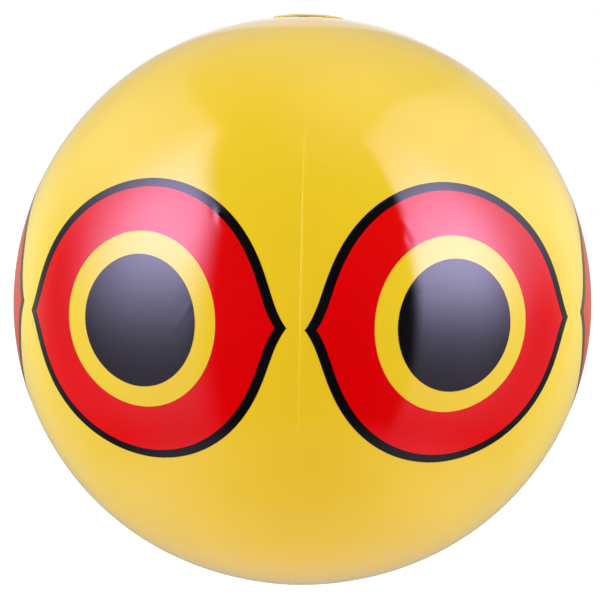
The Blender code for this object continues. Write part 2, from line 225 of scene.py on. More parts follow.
@dataclass(frozen=True)
class Finish:
    """A glossy plastic surface.

    Attributes:
        name: The material's name.
        slot: The record's slot that it belongs to. Not used.
        colour: Base colour, linear.
        drift: Share by which the colour darkens where its clouds are thickest.
        cloud: Size of the colour's clouds.
        gloss: Lowest and highest roughness.
        smear: Size of the patches in which the gloss changes.
        grain: Size of the fine unevenness.
        grain_height: Height of the fine unevenness.
        weld_highlight_tint: Colour of the painted highlight along a welded edge, where the piece's weld
            attribute is 1, or none.
        depth: How far light travels under the surface, or 0.
        depth_weight: Share of the light that does.
        depth_reach: How far each colour travels, as a share of the depth.
        bloom: Weight of the pale bloom that the surface shows where it is seen at a slant.
        bloom_spread: Roughness of the bloom.
    """

    name: str
    slot: str
    colour: Colour
    drift: float = 0.04
    cloud: float = 0.05
    gloss: tuple[float, float] = (0.06, 0.085)
    smear: float = 0.03
    grain: float = 0.0012
    grain_height: float = 0.000002
    weld_highlight_tint: Colour | None = None
    depth: float = 0.0
    depth_weight: float = 0.6
    depth_reach: Colour = (1.0, 0.9, 0.7)
    bloom: float = 0.0
    bloom_spread: float = 0.5

    def material(self) -> bpy.types.Material:
        """Make the material, or find it where an earlier piece has it.

        Returns:
            The material.
        """
        found = bpy.data.materials.get(self.name)
        if found:
            return found
        made = bpy.data.materials.new(self.name)
        made.use_nodes = True
        graph = Graph(made.node_tree)
        place = graph.add("ShaderNodeTexCoord").outputs["Object"]
        dark = tuple(part * (1 - self.drift) for part in self.colour)
        cloud = graph.ramp(graph.clouds(place, self.cloud), *CLOUD_EDGES)
        colour = graph.mix(cloud, (*self.colour, 1), (*dark, 1))
        # Painted highlight: the film is tinted paler along the welded edge of each lap, where the weld
        # attribute says.
        if self.weld_highlight_tint:
            weld = graph.add("ShaderNodeAttribute", attribute_name=WELD_HIGHLIGHT).outputs["Fac"]
            colour = graph.mix(weld, colour, (*self.weld_highlight_tint, 1))
        gloss = graph.ramp(graph.clouds(place, self.smear), *CLOUD_EDGES, *self.gloss)
        grain = graph.clouds(place, self.grain, 3.0)
        bumps = {"Height": grain, "Strength": 1.0, "Distance": self.grain_height}
        normal = graph.add("ShaderNodeBump", bumps).outputs["Normal"]
        surface = {"Base Color": colour, "Roughness": gloss, "Normal": normal, "IOR": PLASTIC_IOR}
        shader = graph.add("ShaderNodeBsdfPrincipled", surface)
        shader.inputs["Sheen Weight"].default_value = self.bloom
        shader.inputs["Sheen Roughness"].default_value = self.bloom_spread
        if self.depth:
            shader.inputs["Subsurface Weight"].default_value = self.depth_weight
            shader.inputs["Subsurface Radius"].default_value = self.depth_reach
            shader.inputs["Subsurface Scale"].default_value = self.depth
        graph.add("ShaderNodeOutputMaterial", {"Surface": shader.outputs[0]})
        return made


FILM = Finish(
    "glossy_film",
    "yellow_film",
    (0.90, 0.590, 0.006),
    drift=0.03,
    cloud=0.07,
    # Painted highlight along the welded edges of the laps.
    weld_highlight_tint=(0.97, 0.665, 0.024),
    bloom=0.4,
)
RED_INK = Finish(
    "red_print", "red_ink", (0.78, 0.0004, 0.0006), drift=0.05, cloud=0.06, gloss=(0.07, 0.095)
)
BLACK_INK = Finish(
    "black_print", "black_ink", (0.0055, 0.0042, 0.0042), drift=0.3, cloud=0.04, gloss=(0.065, 0.09)
)
SHEET = Finish(
    "welded_sheet",
    "yellow_patch",
    (0.80, 0.565, 0.010),
    drift=0.06,
    cloud=0.012,
    gloss=(0.20, 0.30),
    smear=0.006,
    grain=0.0008,
    grain_height=0.000012,
)
MOULDED = Finish(
    "milky_moulding",
    "valve_pvc",
    (0.76, 0.74, 0.64),
    cloud=0.004,
    gloss=(0.25, 0.34),
    smear=0.003,
    grain=0.0006,
    grain_height=0.000004,
    depth=0.002,
)


@dataclass(frozen=True)
class Crease:
    """A short fold mark that packing left in the film.

    Attributes:
        azimuth: Place of its middle round the ball from the front seam, in degrees.
        latitude: Place of its middle above the equator, in degrees.
        turn: Direction that it runs in, anticlockwise from level, in degrees.
        length: Its length.
        width: Its width.
        height: How far it stands out, or sinks in where negative.
    """

    azimuth: float
    latitude: float
    turn: float
    length: float
    width: float
    height: float

    def rise(self, azimuth: float, latitude: float, radius: float) -> float:
        """How far the film stands out at a place because of this crease.

        Args:
            azimuth: Place round the ball.
            latitude: Place above the equator.
            radius: The ball's radius.

        Returns:
            The height, outwards.
        """
        up = (latitude - math.radians(self.latitude)) * radius
        if abs(up) > 2 * self.length:
            return 0.0
        across = (azimuth - math.radians(self.azimuth)) * math.cos(latitude) * radius
        if abs(across) > 2 * self.length:
            return 0.0
        turn = math.radians(self.turn)
        along = (across * math.cos(turn) + up * math.sin(turn)) / (self.length / 2)
        aside = (up * math.cos(turn) - across * math.sin(turn)) / (self.width / 2)
        return self.height * math.exp(-along * along - aside * aside)


@dataclass(frozen=True)
class BallShape:
    """Outer face of the inflated film, flattened where the caps and the valve sit.

    Attributes:
        radius: Mean radius at the equator.
        half_height: From the ball's centre to the outer face of a pole cap.
        seam_swell: How far the film swells out at a seam and sinks in between two seams.
        gap: Clearance between a cap or flange and the film.
        cap_radius: Radius of a pole cap.
        cap_thickness: Thickness of a pole cap.
        valve_gore: The gore that the valve is in.
        valve_latitude: Height of the valve on the ball.
        flange_radius: Radius of the valve's flange.
        flange_border: Flat film round the flange.
        soften: How gently the film runs into its flat spots.
        swell_size: Size of the film's broadest waves.
        swell_height: Height of the film's broadest waves.
        ripple_size: Size of its smaller waves.
        ripple_height: Height of its smaller waves.
        pucker_size: Length of the small puckers along seams and round the caps.
        pucker_reach: How far the puckers reach from a seam or a cap.
        pucker_height: Height of the puckers.
        cap_pucker_share: Height of the puckers round a cap, as a share of those along a seam.
        creases: The fold marks.
    """

    radius: float = 0.200
    half_height: float = 0.1964
    seam_swell: float = 0.003
    gap: float = 0.0003
    cap_radius: float = 0.025
    cap_thickness: float = 0.0012
    valve_gore: Gore = Gore.REAR_RIGHT
    valve_latitude: float = math.radians(-55)
    flange_radius: float = 0.017
    flange_border: float = 0.005
    soften: float = 0.0006
    swell_size: float = 0.075
    swell_height: float = 0.00022
    ripple_size: float = 0.026
    ripple_height: float = 0.00004
    pucker_size: float = 0.011
    pucker_reach: float = 0.010
    pucker_height: float = 0.00016
    cap_pucker_share: float = 2.0
    creases: tuple[Crease, ...] = ()

    @cached_property
    def centre(self) -> Vector:
        """The ball's centre."""
        return Vector((0, 0, self.half_height))

    @cached_property
    def flat_height(self) -> float:
        """From the centre to the film under a cap."""
        return self.half_height - self.cap_thickness - self.gap

    @cached_property
    def pole_axis(self) -> float:
        """Half axis of the film before the caps flatten it."""
        return self.flat_height / math.sqrt(1 - (self.cap_radius / self.radius) ** 2)

    @cached_property
    def cap_latitude(self) -> float:
        """Latitude of a cap's edge."""
        return math.acos(self.cap_radius / self.radius)

    @cached_property
    def valve_azimuth(self) -> float:
        """Place of the valve round the ball."""
        return (self.valve_gore.value + 1 / 2) * GORE_ANGLE

    @cached_property
    def flat_spots(self) -> tuple[tuple[Vector, float], ...]:
        """The planes that flatten the film.

        Returns:
            Direction and distance of the two caps' planes and of the flange's.
        """
        valve = self.swollen(self.valve_azimuth, self.valve_latitude)
        spot_radius = self.flange_radius + self.flange_border
        height = math.sqrt(valve.length ** 2 - spot_radius ** 2)
        up = Vector((0, 0, 1))
        return ((up, self.flat_height), (-up, self.flat_height), (valve.normalized(), height))

    @cached_property
    def valve_seat(self) -> Matrix:
        """The valve's own frame.

        Returns:
            The frame, with its origin on the film and its Z axis the way that the stem pulls out.
        """
        axis, height = self.flat_spots[-1]
        turned = axis.to_track_quat("Z", "Y").to_matrix().to_4x4()
        return Matrix.Translation(self.centre + height * axis) @ turned

    def swollen(self, azimuth: float, latitude: float) -> Vector:
        """Place a point of the film, before anything flattens or creases it.

        Args:
            azimuth: Place round the ball.
            latitude: Place above the equator.

        Returns:
            The point, from the ball's centre.
        """
        swell = self.seam_swell * math.cos(len(Gore) * azimuth) * math.cos(latitude)
        reach = math.cos(latitude) * (self.radius + swell)
        return Vector((
            reach * math.sin(azimuth),
            -reach * math.cos(azimuth),
            self.pole_axis * math.sin(latitude),
        ))

    def puckers(self, azimuth: float, latitude: float) -> float:
        """Height of the small puckers where the film is drawn in by a weld.

        Args:
            azimuth: Place round the ball.
            latitude: Place above the equator.

        Returns:
            The height, outwards.
        """
        seam = round(azimuth / GORE_ANGLE)
        to_seam = abs(azimuth - seam * GORE_ANGLE) * self.radius * math.cos(latitude)
        along = latitude * self.radius / self.pucker_size
        beside = noise.noise(Vector((along, SEAM_SHIFT * (seam % len(Gore)), to_seam / self.pucker_reach)))
        height = beside * math.exp(-to_seam / self.pucker_reach)
        to_cap = max(self.cap_latitude - abs(latitude), 0) * self.radius
        if to_cap < CAP_PUCKER_END * self.pucker_reach:
            turn = 2 * self.cap_radius / self.pucker_size
            shift = math.copysign(CAP_SHIFT, latitude)
            around = noise.noise(Vector((turn * math.cos(azimuth), turn * math.sin(azimuth), shift)))
            height += self.cap_pucker_share * around * math.exp(-to_cap / self.pucker_reach)
        return self.pucker_height * height

    def unevenness(self, point: Vector, azimuth: float, latitude: float) -> float:
        """How far the film stands out from its ideal shape.

        Args:
            point: The ideal point, from the centre.
            azimuth: Its place round the ball.
            latitude: Its place above the equator.

        Returns:
            The height, outwards.
        """
        height = self.swell_height * noise.noise(point / self.swell_size)
        height += self.ripple_height * noise.noise(point / self.ripple_size + RIPPLE_SHIFT)
        height += self.puckers(azimuth, latitude)
        for crease in self.creases:
            height += crease.rise(azimuth % math.tau, latitude, self.radius)
        return height

    def point(self, azimuth: float, latitude: float, lift: float) -> Vector:
        """Point of the film's outer face, or of what lies over or under it.

        Args:
            azimuth: Place round the ball.
            latitude: Place above the equator.
            lift: Height over the film's outer face, or depth under it where negative.

        Returns:
            The point in the part's frame.
        """
        point = self.swollen(azimuth, latitude)
        outward = point.normalized()
        point += (lift + self.unevenness(point, azimuth, latitude)) * outward
        for axis, height in self.flat_spots:
            excess = point.dot(axis) - height - lift
            if excess > self.soften:
                point -= excess * axis
            elif excess > -self.soften:
                point -= (excess + self.soften) ** 2 / (4 * self.soften) * axis
        return self.centre + point


def add_piece(
    name: str, bm: bmesh.types.BMesh, finish: Finish, replaces: tuple[str, ...], sharp: float = 40.0
) -> bpy.types.Object:
    """Turn a bmesh into a piece of the object.

    Args:
        name: The piece's name.
        bm: Its shape, in the part's frame. It is freed.
        finish: Its finish.
        replaces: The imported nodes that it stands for.
        sharp: Angle in degrees from which its edges are shaded sharp.

    Returns:
        The piece.
    """
    mesh = bpy.data.meshes.new(name)
    bm.to_mesh(mesh)
    bm.free()
    mesh.shade_smooth()
    mesh.set_sharp_from_angle(angle=math.radians(sharp))
    mesh.materials.append(finish.material())
    piece = bpy.data.objects.new(name, mesh)
    bpy.context.scene.collection.objects.link(piece)
    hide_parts(*replaces)
    return piece


def join_block(
    bm: bmesh.types.BMesh, size: tuple[float, float, float], middle: tuple[float, float, float]
) -> None:
    """Unite a closed shape with a block.

    Args:
        bm: The shape that grows.
        size: The block's size.
        middle: The block's middle.
    """
    block = bmesh.new()
    bmesh.ops.create_cube(block, size=1)
    bmesh.ops.scale(block, verts=block.verts, vec=size)
    bmesh.ops.translate(block, verts=block.verts, vec=middle)
    objects = []
    for shape in (bm, block):
        mesh = bpy.data.meshes.new("joining")
        shape.to_mesh(mesh)
        objects.append(bpy.data.objects.new("joining", mesh))
        bpy.context.scene.collection.objects.link(objects[-1])
    block.free()
    union = objects[0].modifiers.new("union", "BOOLEAN")
    union.operation = "UNION"
    union.solver = "EXACT"
    union.object = objects[1]
    depsgraph = bpy.context.evaluated_depsgraph_get()
    joined = bpy.data.meshes.new_from_object(objects[0].evaluated_get(depsgraph))
    bm.clear()
    bm.from_mesh(joined)
    for item in objects:
        bpy.data.objects.remove(item, do_unlink=True)


def turned_shape(profile: list[Spot], closed: bool, steps: int) -> bmesh.types.BMesh:
    """A shape turned about Z.

    Args:
        profile: Radius and height of each point of its half section.
        closed: Whether the half section is a ring.
        steps: Faces round it.

    Returns:
        The shape, with its faces pointing outwards.
    """
    bm = bmesh.new()
    verts = [bm.verts.new((radius, 0, height)) for radius, height in profile]
    edges = [bm.edges.new(pair) for pair in zip(verts, verts[1:])]
    if closed:
        edges.append(bm.edges.new((verts[-1], verts[0])))
    bmesh.ops.spin(
        bm, geom=verts + edges, cent=(0, 0, 0), axis=(0, 0, 1), angle=math.tau, steps=steps, use_merge=True
    )
    bmesh.ops.remove_doubles(bm, verts=bm.verts, dist=MERGE)
    bmesh.ops.recalc_face_normals(bm, faces=bm.faces)
    return bm


def bevel(bm: bmesh.types.BMesh, edges: list[bmesh.types.BMEdge], width: float, segments: int) -> None:
    """Round some edges of a shape.

    Args:
        bm: The shape.
        edges: The edges.
        width: Width of the rounding.
        segments: Faces across it.
    """
    bmesh.ops.bevel(
        bm,
        geom=edges,
        offset=width,
        segments=segments,
        profile=0.5,
        affect="EDGES",
        material=-1,
        clamp_overlap=True,
    )


def round_edges(bm: bmesh.types.BMesh, width: float, segments: int = 3) -> None:
    """Round all of a shape's sharp edges.

    Args:
        bm: The shape.
        width: Width of the rounding.
        segments: Faces across it.
    """
    limit = math.radians(SHARP_EDGE)
    edges = [edge for edge in bm.edges if edge.is_manifold and edge.calc_face_angle() > limit]
    bevel(bm, edges, width, segments)


@dataclass
class FilmGores:
    """The six gores of film, lapped and welded along their seams.

    Attributes:
        shape: The ball's outer face.
        thickness: Thickness of the film.
        lap: Width of a lap weld.
        joggle: Width of the step that takes the lower edge of a lap under the upper one.
        press: How far the weld presses the two films of a lap into each other.
        seam_turn: How far the seams sit round from the gores' borders, as printed.
        tip_room_share: A gore's width at the pole hole, as a share of its lap and joggle.
        edge_width: Width of the finely divided strip along the welded edge.
        edge_round: Rounding of the welded edge.
        pale_width: Width of the painted highlight, a pale line along the welded edge.
        pale_middle: Latitude at which the painted highlight is strongest.
        pale_reach: How far from there the painted highlight reaches towards the poles.
        faint: Strength of the painted highlight on the seams other than the front one.
        valve_hole: Radius of the hole for the valve's collar.
        edge_columns: Faces across the strip along the welded edge.
        panel_columns: Faces across the panel.
        joggle_columns: Faces across the joggle.
        lap_columns: Faces across the covered part of the lap.
        rows: Faces from pole to pole.
    """

    shape: BallShape
    thickness: float = 0.00025
    lap: float = 0.005
    joggle: float = 0.0015
    press: float = 0.0002
    seam_turn: float = math.radians(-0.45)
    tip_room_share: float = 1.6
    edge_width: float = 0.0012
    edge_round: float = 0.0002
    pale_width: float = 0.0013
    pale_middle: float = math.radians(8)
    pale_reach: float = math.radians(32)
    faint: float = 0.3
    valve_hole: float = 0.0111
    edge_columns: int = 4
    panel_columns: int = 108
    joggle_columns: int = 4
    lap_columns: int = 2
    rows: int = 320

    @property
    def columns(self) -> int:
        """Faces across a gore."""
        return self.edge_columns + self.panel_columns + self.joggle_columns + self.lap_columns

    def place(self, column: int, row_radius: float) -> tuple[float, float]:
        """Where a column of a gore runs.

        Args:
            column: The column's number.
            row_radius: Radius of the row.

        Returns:
            Distance from the gore's first seam along the row, and depth under the outer face.
        """
        width = row_radius * GORE_ANGLE
        step = column
        if step <= self.edge_columns:
            return self.edge_width * step / self.edge_columns, 0.0
        step -= self.edge_columns
        panel = width - self.joggle - self.edge_width
        if step <= self.panel_columns:
            return self.edge_width + panel * step / self.panel_columns, 0.0
        step -= self.panel_columns
        under = self.thickness - self.press
        if step <= self.joggle_columns:
            share = step / self.joggle_columns
            return width - self.joggle * (1 - share), under * share * share * (3 - 2 * share)
        step -= self.joggle_columns
        return width + self.lap * step / self.lap_columns, under

    def weld_highlight(self, along: float, latitude: float) -> float:
        """How strongly the painted highlight along the welded edge shows there.

        Args:
            along: Distance from the gore's first seam.
            latitude: Place above the equator.

        Returns:
            From 0 to 1. It is 1 at the highlight's middle latitude, on the half of the line next to the
            edge.
        """
        toward_pole = min(abs(latitude - self.pale_middle) / self.pale_reach, 1.0)
        across = min(2 * max(1 - along / self.pale_width, 0.0), 1.0)
        return across * (1 - toward_pole ** 2)

    def build(self) -> list[bpy.types.Object]:
        """Make the gores.

        Returns:
            The six pieces.
        """
        return [self.build_gore(gore) for gore in Gore]

    def build_gore(self, gore: Gore) -> bpy.types.Object:
        """Make one gore, over its neighbour at one seam and under it at the other.

        Args:
            gore: Which gore.

        Returns:
            The piece.
        """
        tip = math.acos(self.tip_room_share * (self.lap + self.joggle) / GORE_ANGLE / self.shape.radius)
        # Painted highlight along the welded edge: full on the front seam, faint on the others.
        strength = 1.0 if gore is Gore.FRONT_RIGHT else self.faint
        bm = bmesh.new()
        bmesh.ops.create_grid(bm, x_segments=self.columns, y_segments=self.rows, size=1)
        # Point attribute that holds the painted highlight along the welded edge.
        marks = bm.verts.layers.float.new(WELD_HIGHLIGHT)
        # The grid runs from -1 to 1 both ways. Its first column lies along the welded edge.
        past_edge = -1 + 1 / self.columns
        edge_line = [edge for edge in bm.edges if all(vert.co.x < past_edge for vert in edge.verts)]
        for vert in bm.verts:
            column = round((vert.co.x + 1) / 2 * self.columns)
            latitude = tip * vert.co.y
            row_radius = self.shape.radius * math.cos(latitude)
            along, depth = self.place(column, row_radius)
            vert[marks] = strength * self.weld_highlight(along, latitude)
            azimuth = gore.value * GORE_ANGLE + self.seam_turn + along / row_radius
            vert.co = self.shape.point(azimuth, latitude, -depth)
        if gore == self.shape.valve_gore:
            self.open_valve_hole(bm)
        bm.normal_update()
        bmesh.ops.solidify(bm, geom=bm.faces[:], thickness=self.thickness)
        bevel(bm, edge_line, self.edge_round, 2)
        piece = add_piece("film_" + gore.label, bm, FILM, ("gore_" + gore.label,), sharp=50.0)
        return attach(piece, "balloon")

    def open_valve_hole(self, bm: bmesh.types.BMesh) -> None:
        """Open the film for the valve's collar, under the flange.

        Args:
            bm: The gore's open surface.
        """
        to_seat = self.shape.valve_seat.inverted()
        spacing = self.shape.radius * GORE_ANGLE / self.panel_columns
        reach = self.valve_hole + 2 * spacing
        near = {}
        for vert in bm.verts:
            place = to_seat @ vert.co
            if place.to_2d().length < reach and abs(place.z) < reach:
                near[vert] = place
        inside = [vert for vert, place in near.items() if place.to_2d().length < self.valve_hole]
        around = [vert for vert in near if vert not in inside]
        bmesh.ops.delete(bm, geom=inside, context="VERTS")
        for vert in around:
            if vert.is_valid and vert.is_boundary:
                place = near[vert]
                share = self.valve_hole / place.to_2d().length
                vert.co = self.shape.valve_seat @ Vector((place.x * share, place.y * share, place.z))


@dataclass(frozen=True)
class PrintPlace:
    """Where an eye is printed on its gore.

    Attributes:
        shift_share: Sideways, as a share of the eye's margin.
        rise_share: Upwards, as a share of the eye's margin.
        tilt: Turn, anticlockwise, in degrees.
        oval_shift: How far the outline is set to the right of the pupil.
    """

    shift_share: float
    rise_share: float
    tilt: float
    oval_shift: float = 0.0


@dataclass
class PrintedEyes:
    """The eyes printed round the ball, one to a gore, in layers of ink.

    Attributes:
        shape: The ball's outer face.
        half_height: From an eye's middle to the top of its outline.
        margin: From an eye's tip to the seam, when the eye is in the middle of its gore.
        tip: How far a tip reaches past the oval of the eye.
        stroke: Width of the black outline.
        pupil_radius: Radius of the pupil.
        ring_width: Width of the bare film between the pupil and the iris.
        tip_spread: Angle over which a tip flattens out into the oval.
        fullness: How full the oval is: 2 for an ellipse, less for a leaner one.
        inner_tip_share: The tip's reach on the outline's inner edge, as a share of the outer one.
        crowding: How strongly the outline's points gather at the tips.
        overprint: How far the outline is printed over the iris.
        misprint: How far the red print is off from the black print, to the right and up.
        ink: Thickness of an ink layer.
        iris_lift: Height of the iris's outer face over the film.
        black_lift: Height of the outline's and the pupil's outer face over the film.
        iris_faces: Faces round the iris and across it.
        outline_faces: Faces round the outline and across it.
        pupil_faces: Faces round the pupil and across it.
        PLACES: Where each gore's eye is printed.
    """

    shape: BallShape
    half_height: float = 0.0878
    margin: float = 0.0098
    tip: float = 0.0085
    stroke: float = 0.0055
    pupil_radius: float = 0.040
    ring_width: float = 0.0135
    tip_spread: float = math.radians(7.2)
    fullness: float = 1.96
    inner_tip_share: float = 0.88
    crowding: float = 1.5
    overprint: float = 0.0018
    misprint: tuple[float, float] = (-0.0007, 0.0006)
    ink: float = 0.00003
    iris_lift: float = 0.00008
    black_lift: float = 0.00013
    iris_faces: tuple[int, int] = (280, 20)
    outline_faces: tuple[int, int] = (280, 4)
    pupil_faces: tuple[int, int] = (160, 22)

    PLACES = {
        Gore.FRONT_RIGHT: PrintPlace(-0.93, 0.06, 1.06, 0.0009),
        Gore.SIDE_RIGHT: PrintPlace(-0.92, 0.45, 0.06),
        Gore.REAR_RIGHT: PrintPlace(-0.37, 0.21, 0.3),
        Gore.REAR_LEFT: PrintPlace(0.21, -0.16, -0.3),
        Gore.SIDE_LEFT: PrintPlace(0.86, 0.39, 0.05),
        Gore.FRONT_LEFT: PrintPlace(0.22, -0.06, 0.19, -0.0010),
    }

    @property
    def half_width(self) -> float:
        """Half width of the eye's oval, without its tips."""
        return self.shape.radius * GORE_ANGLE / 2 - self.margin - self.tip

    def almond(self, angle: float, inset: float, tip: float) -> float:
        """Distance from an eye's middle to the edge of an oval with a drawn-out tip at each side.

        Args:
            angle: Direction from the middle.
            inset: How far the oval lies inside the outline's outer edge.
            tip: Reach of the tips past the oval.

        Returns:
            The distance.
        """
        across = abs(math.cos(angle)) / (self.half_width - inset)
        up = abs(math.sin(angle)) / (self.half_height - inset)
        oval = (across ** self.fullness + up ** self.fullness) ** (-1 / self.fullness)
        from_tip = math.asin(abs(math.sin(angle)))
        return oval + tip * math.exp(-from_tip / self.tip_spread)

    def outline_outer(self, angle: float) -> float:
        """Outer edge of the black outline."""
        return self.almond(angle, 0.0, self.tip)

    def outline_inner(self, angle: float) -> float:
        """Inner edge of the black outline."""
        return self.almond(angle, self.stroke, self.tip * self.inner_tip_share)

    def iris_outer(self, angle: float) -> float:
        """Outer edge of the red iris, under the outline."""
        return self.outline_inner(angle) + self.overprint

    def iris_inner(self, angle: float) -> float:
        """Inner edge of the red iris, round the ring of bare film."""
        return self.pupil_radius + self.ring_width

    def pupil_outer(self, angle: float) -> float:
        """Edge of the round pupil."""
        return self.pupil_radius

    def pupil_inner(self, angle: float) -> float:
        """The pupil is filled to its middle."""
        return 0.0

    def crowded_angle(self, share: float) -> float:
        """Gather the points of a print at its two tips.

        Args:
            share: Share of the whole turn, from the right tip anticlockwise.

        Returns:
            The angle there.
        """
        quarter = min(int(share * 4), 3)
        part = share * 4 - quarter
        turned = part ** self.crowding if quarter % 2 == 0 else 1 - (1 - part) ** self.crowding
        return math.pi / 2 * (quarter + turned)

    def wrap(self, gore: Gore, spot: Vector, lift: float) -> Vector:
        """Place a point of the flat print on its inflated gore.

        Args:
            gore: The gore that it is printed on.
            spot: Place to the right of the eye's middle and above it.
            lift: Height over the film.

        Returns:
            The point in the part's frame.
        """
        place = self.PLACES[gore]
        turned = Matrix.Rotation(math.radians(place.tilt), 2) @ spot
        latitude = (turned.y + place.rise_share * self.margin) / self.shape.radius
        azimuth = (turned.x / math.cos(latitude) + place.shift_share * self.margin) / self.shape.radius
        return self.shape.point((gore.value + 1 / 2) * GORE_ANGLE + azimuth, latitude, lift)

    def build(self) -> list[bpy.types.Object]:
        """Print all the eyes.

        Returns:
            The eighteen pieces.
        """
        pieces = []
        for gore in Gore:
            oval, middle = Vector((self.PLACES[gore].oval_shift, 0)), Vector((0, 0))
            iris = (self.iris_outer, self.iris_inner), (oval, Vector(self.misprint))
            outline = (self.outline_outer, self.outline_inner), (oval, oval)
            pupil = (self.pupil_outer, self.pupil_inner), (middle, middle)
            for layer, edges, counts, lift, finish in (
                (InkLayer.IRIS, iris, self.iris_faces, self.iris_lift, RED_INK),
                (InkLayer.OUTLINE, outline, self.outline_faces, self.black_lift, BLACK_INK),
                (InkLayer.PUPIL, pupil, self.pupil_faces, self.black_lift, BLACK_INK),
            ):
                pieces.append(self.build_layer(gore, layer, *edges, counts, lift, finish))
        return pieces

    def build_layer(
        self,
        gore: Gore,
        layer: InkLayer,
        edges: tuple[Edge, Edge],
        shifts: tuple[Vector, Vector],
        counts: tuple[int, int],
        lift: float,
        finish: Finish,
    ) -> bpy.types.Object:
        """Print one layer of an eye.

        Args:
            gore: The gore that it is printed on.
            layer: Which layer.
            edges: Distance of its outer and inner edge from their middles, by the angle.
            shifts: How far those middles are off from the eye's middle.
            counts: Faces round it and across it.
            lift: Height of its outer face over the film.
            finish: Its finish.

        Returns:
            The piece.
        """
        outer, inner = edges
        bm = bmesh.new()
        bmesh.ops.create_grid(bm, x_segments=counts[0], y_segments=counts[1], size=1)
        for vert in bm.verts:
            angle = self.crowded_angle((vert.co.x + 1) / 2)
            inward = (vert.co.y + 1) / 2
            ray = Vector((math.cos(angle), math.sin(angle)))
            spot = (outer(angle) * ray + shifts[0]).lerp(inner(angle) * ray + shifts[1], inward)
            vert.co = self.wrap(gore, spot, lift)
        bmesh.ops.remove_doubles(bm, verts=bm.verts, dist=PRINT_MERGE)
        bmesh.ops.recalc_face_normals(bm, faces=bm.faces)
        face = next(iter(bm.faces))
        if face.normal.dot(face.calc_center_median() - self.shape.centre) < 0:
            bmesh.ops.reverse_faces(bm, faces=bm.faces)
        bmesh.ops.solidify(bm, geom=bm.faces[:], thickness=self.ink)
        name = f"{layer.value}_print_{gore.label}"
        piece = add_piece(name, bm, finish, (f"eye_{layer.value}_{gore.label}",))
        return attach(piece, "balloon")


@dataclass
class PoleCap:
    """A round cap welded over the gores' tips at a pole.

    Attributes:
        shape: The ball's outer face.
        pole: Which pole.
        rim_round: Rounding of the rim.
        border: Flat border outside the pressed ring.
        ring_width: Width of the ring that the weld presses.
        ring_depth: Depth of the pressed ring.
        rib_depth: Depth of the fine ribs that the welding tool leaves in the ring.
        ribs: Number of ribs round the ring.
        steps_per_rib: Faces round the cap for each rib.
    """

    shape: BallShape
    pole: Pole
    rim_round: float = 0.0003
    border: float = 0.0022
    ring_width: float = 0.003
    ring_depth: float = 0.0003
    rib_depth: float = 0.00009
    ribs: int = 72
    steps_per_rib: int = 4

    def profile(self) -> list[Spot]:
        """Draw the cap's half section.

        Returns:
            Radius and height of its points, from the middle of the outer face to that of the inner face.
        """
        top = self.shape.cap_thickness
        outer = self.shape.cap_radius - self.border
        inner = outer - self.ring_width
        slope = self.ring_depth
        middle = (outer + inner) / 2
        low = top - self.ring_depth
        return [
            (0, top),
            (inner / 3, top),
            (inner * 2 / 3, top),
            (inner - slope / 2, top),
            (inner, top - slope / 4),
            (inner + slope, low),
            (middle, low),
            (outer - slope, low),
            (outer, top - slope / 4),
            (outer + slope / 2, top),
            (self.shape.cap_radius, top),
            (self.shape.cap_radius, 0),
            (0, 0),
        ]

    def build(self) -> bpy.types.Object:
        """Make the cap.

        Returns:
            The piece.
        """
        bm = turned_shape(self.profile(), False, self.ribs * self.steps_per_rib)
        low = self.shape.cap_thickness - self.ring_depth
        for vert in bm.verts:
            if abs(vert.co.z - low) < MERGE:
                wave = math.cos(self.ribs * math.atan2(vert.co.y, vert.co.x))
                vert.co.z += self.rib_depth * (wave + 1) / 2
        rim = [
            edge
            for edge in bm.edges
            if all(vert.co.to_2d().length > self.shape.cap_radius - MERGE for vert in edge.verts)
            and abs(edge.verts[0].co.z - edge.verts[1].co.z) < MERGE
        ]
        bevel(bm, rim, self.rim_round, 3)
        place = Matrix.Translation(Vector((0, 0, self.shape.half_height - self.shape.cap_thickness)))
        if self.pole is Pole.BOTTOM:
            place = Matrix.Rotation(math.pi, 4, "X") @ place
        bmesh.ops.transform(bm, matrix=Matrix.Translation(self.shape.centre) @ place, verts=bm.verts)
        label = self.pole.name.lower()
        piece = add_piece(label + "_pole_cap", bm, SHEET, (label + "_cap",))
        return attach(piece, "balloon")


def arc(middle: Spot, radius: float, start: float, end: float, steps: int) -> list[Spot]:
    """Points along an arc.

    Args:
        middle: The arc's middle.
        radius: Its radius.
        start: Angle of its first point.
        end: Angle of its last point.
        steps: Number of stretches.

    Returns:
        The points, both ends included.
    """
    angles = [start + (end - start) * step / steps for step in range(steps + 1)]
    return [(middle[0] + radius * math.cos(a), middle[1] + radius * math.sin(a)) for a in angles]


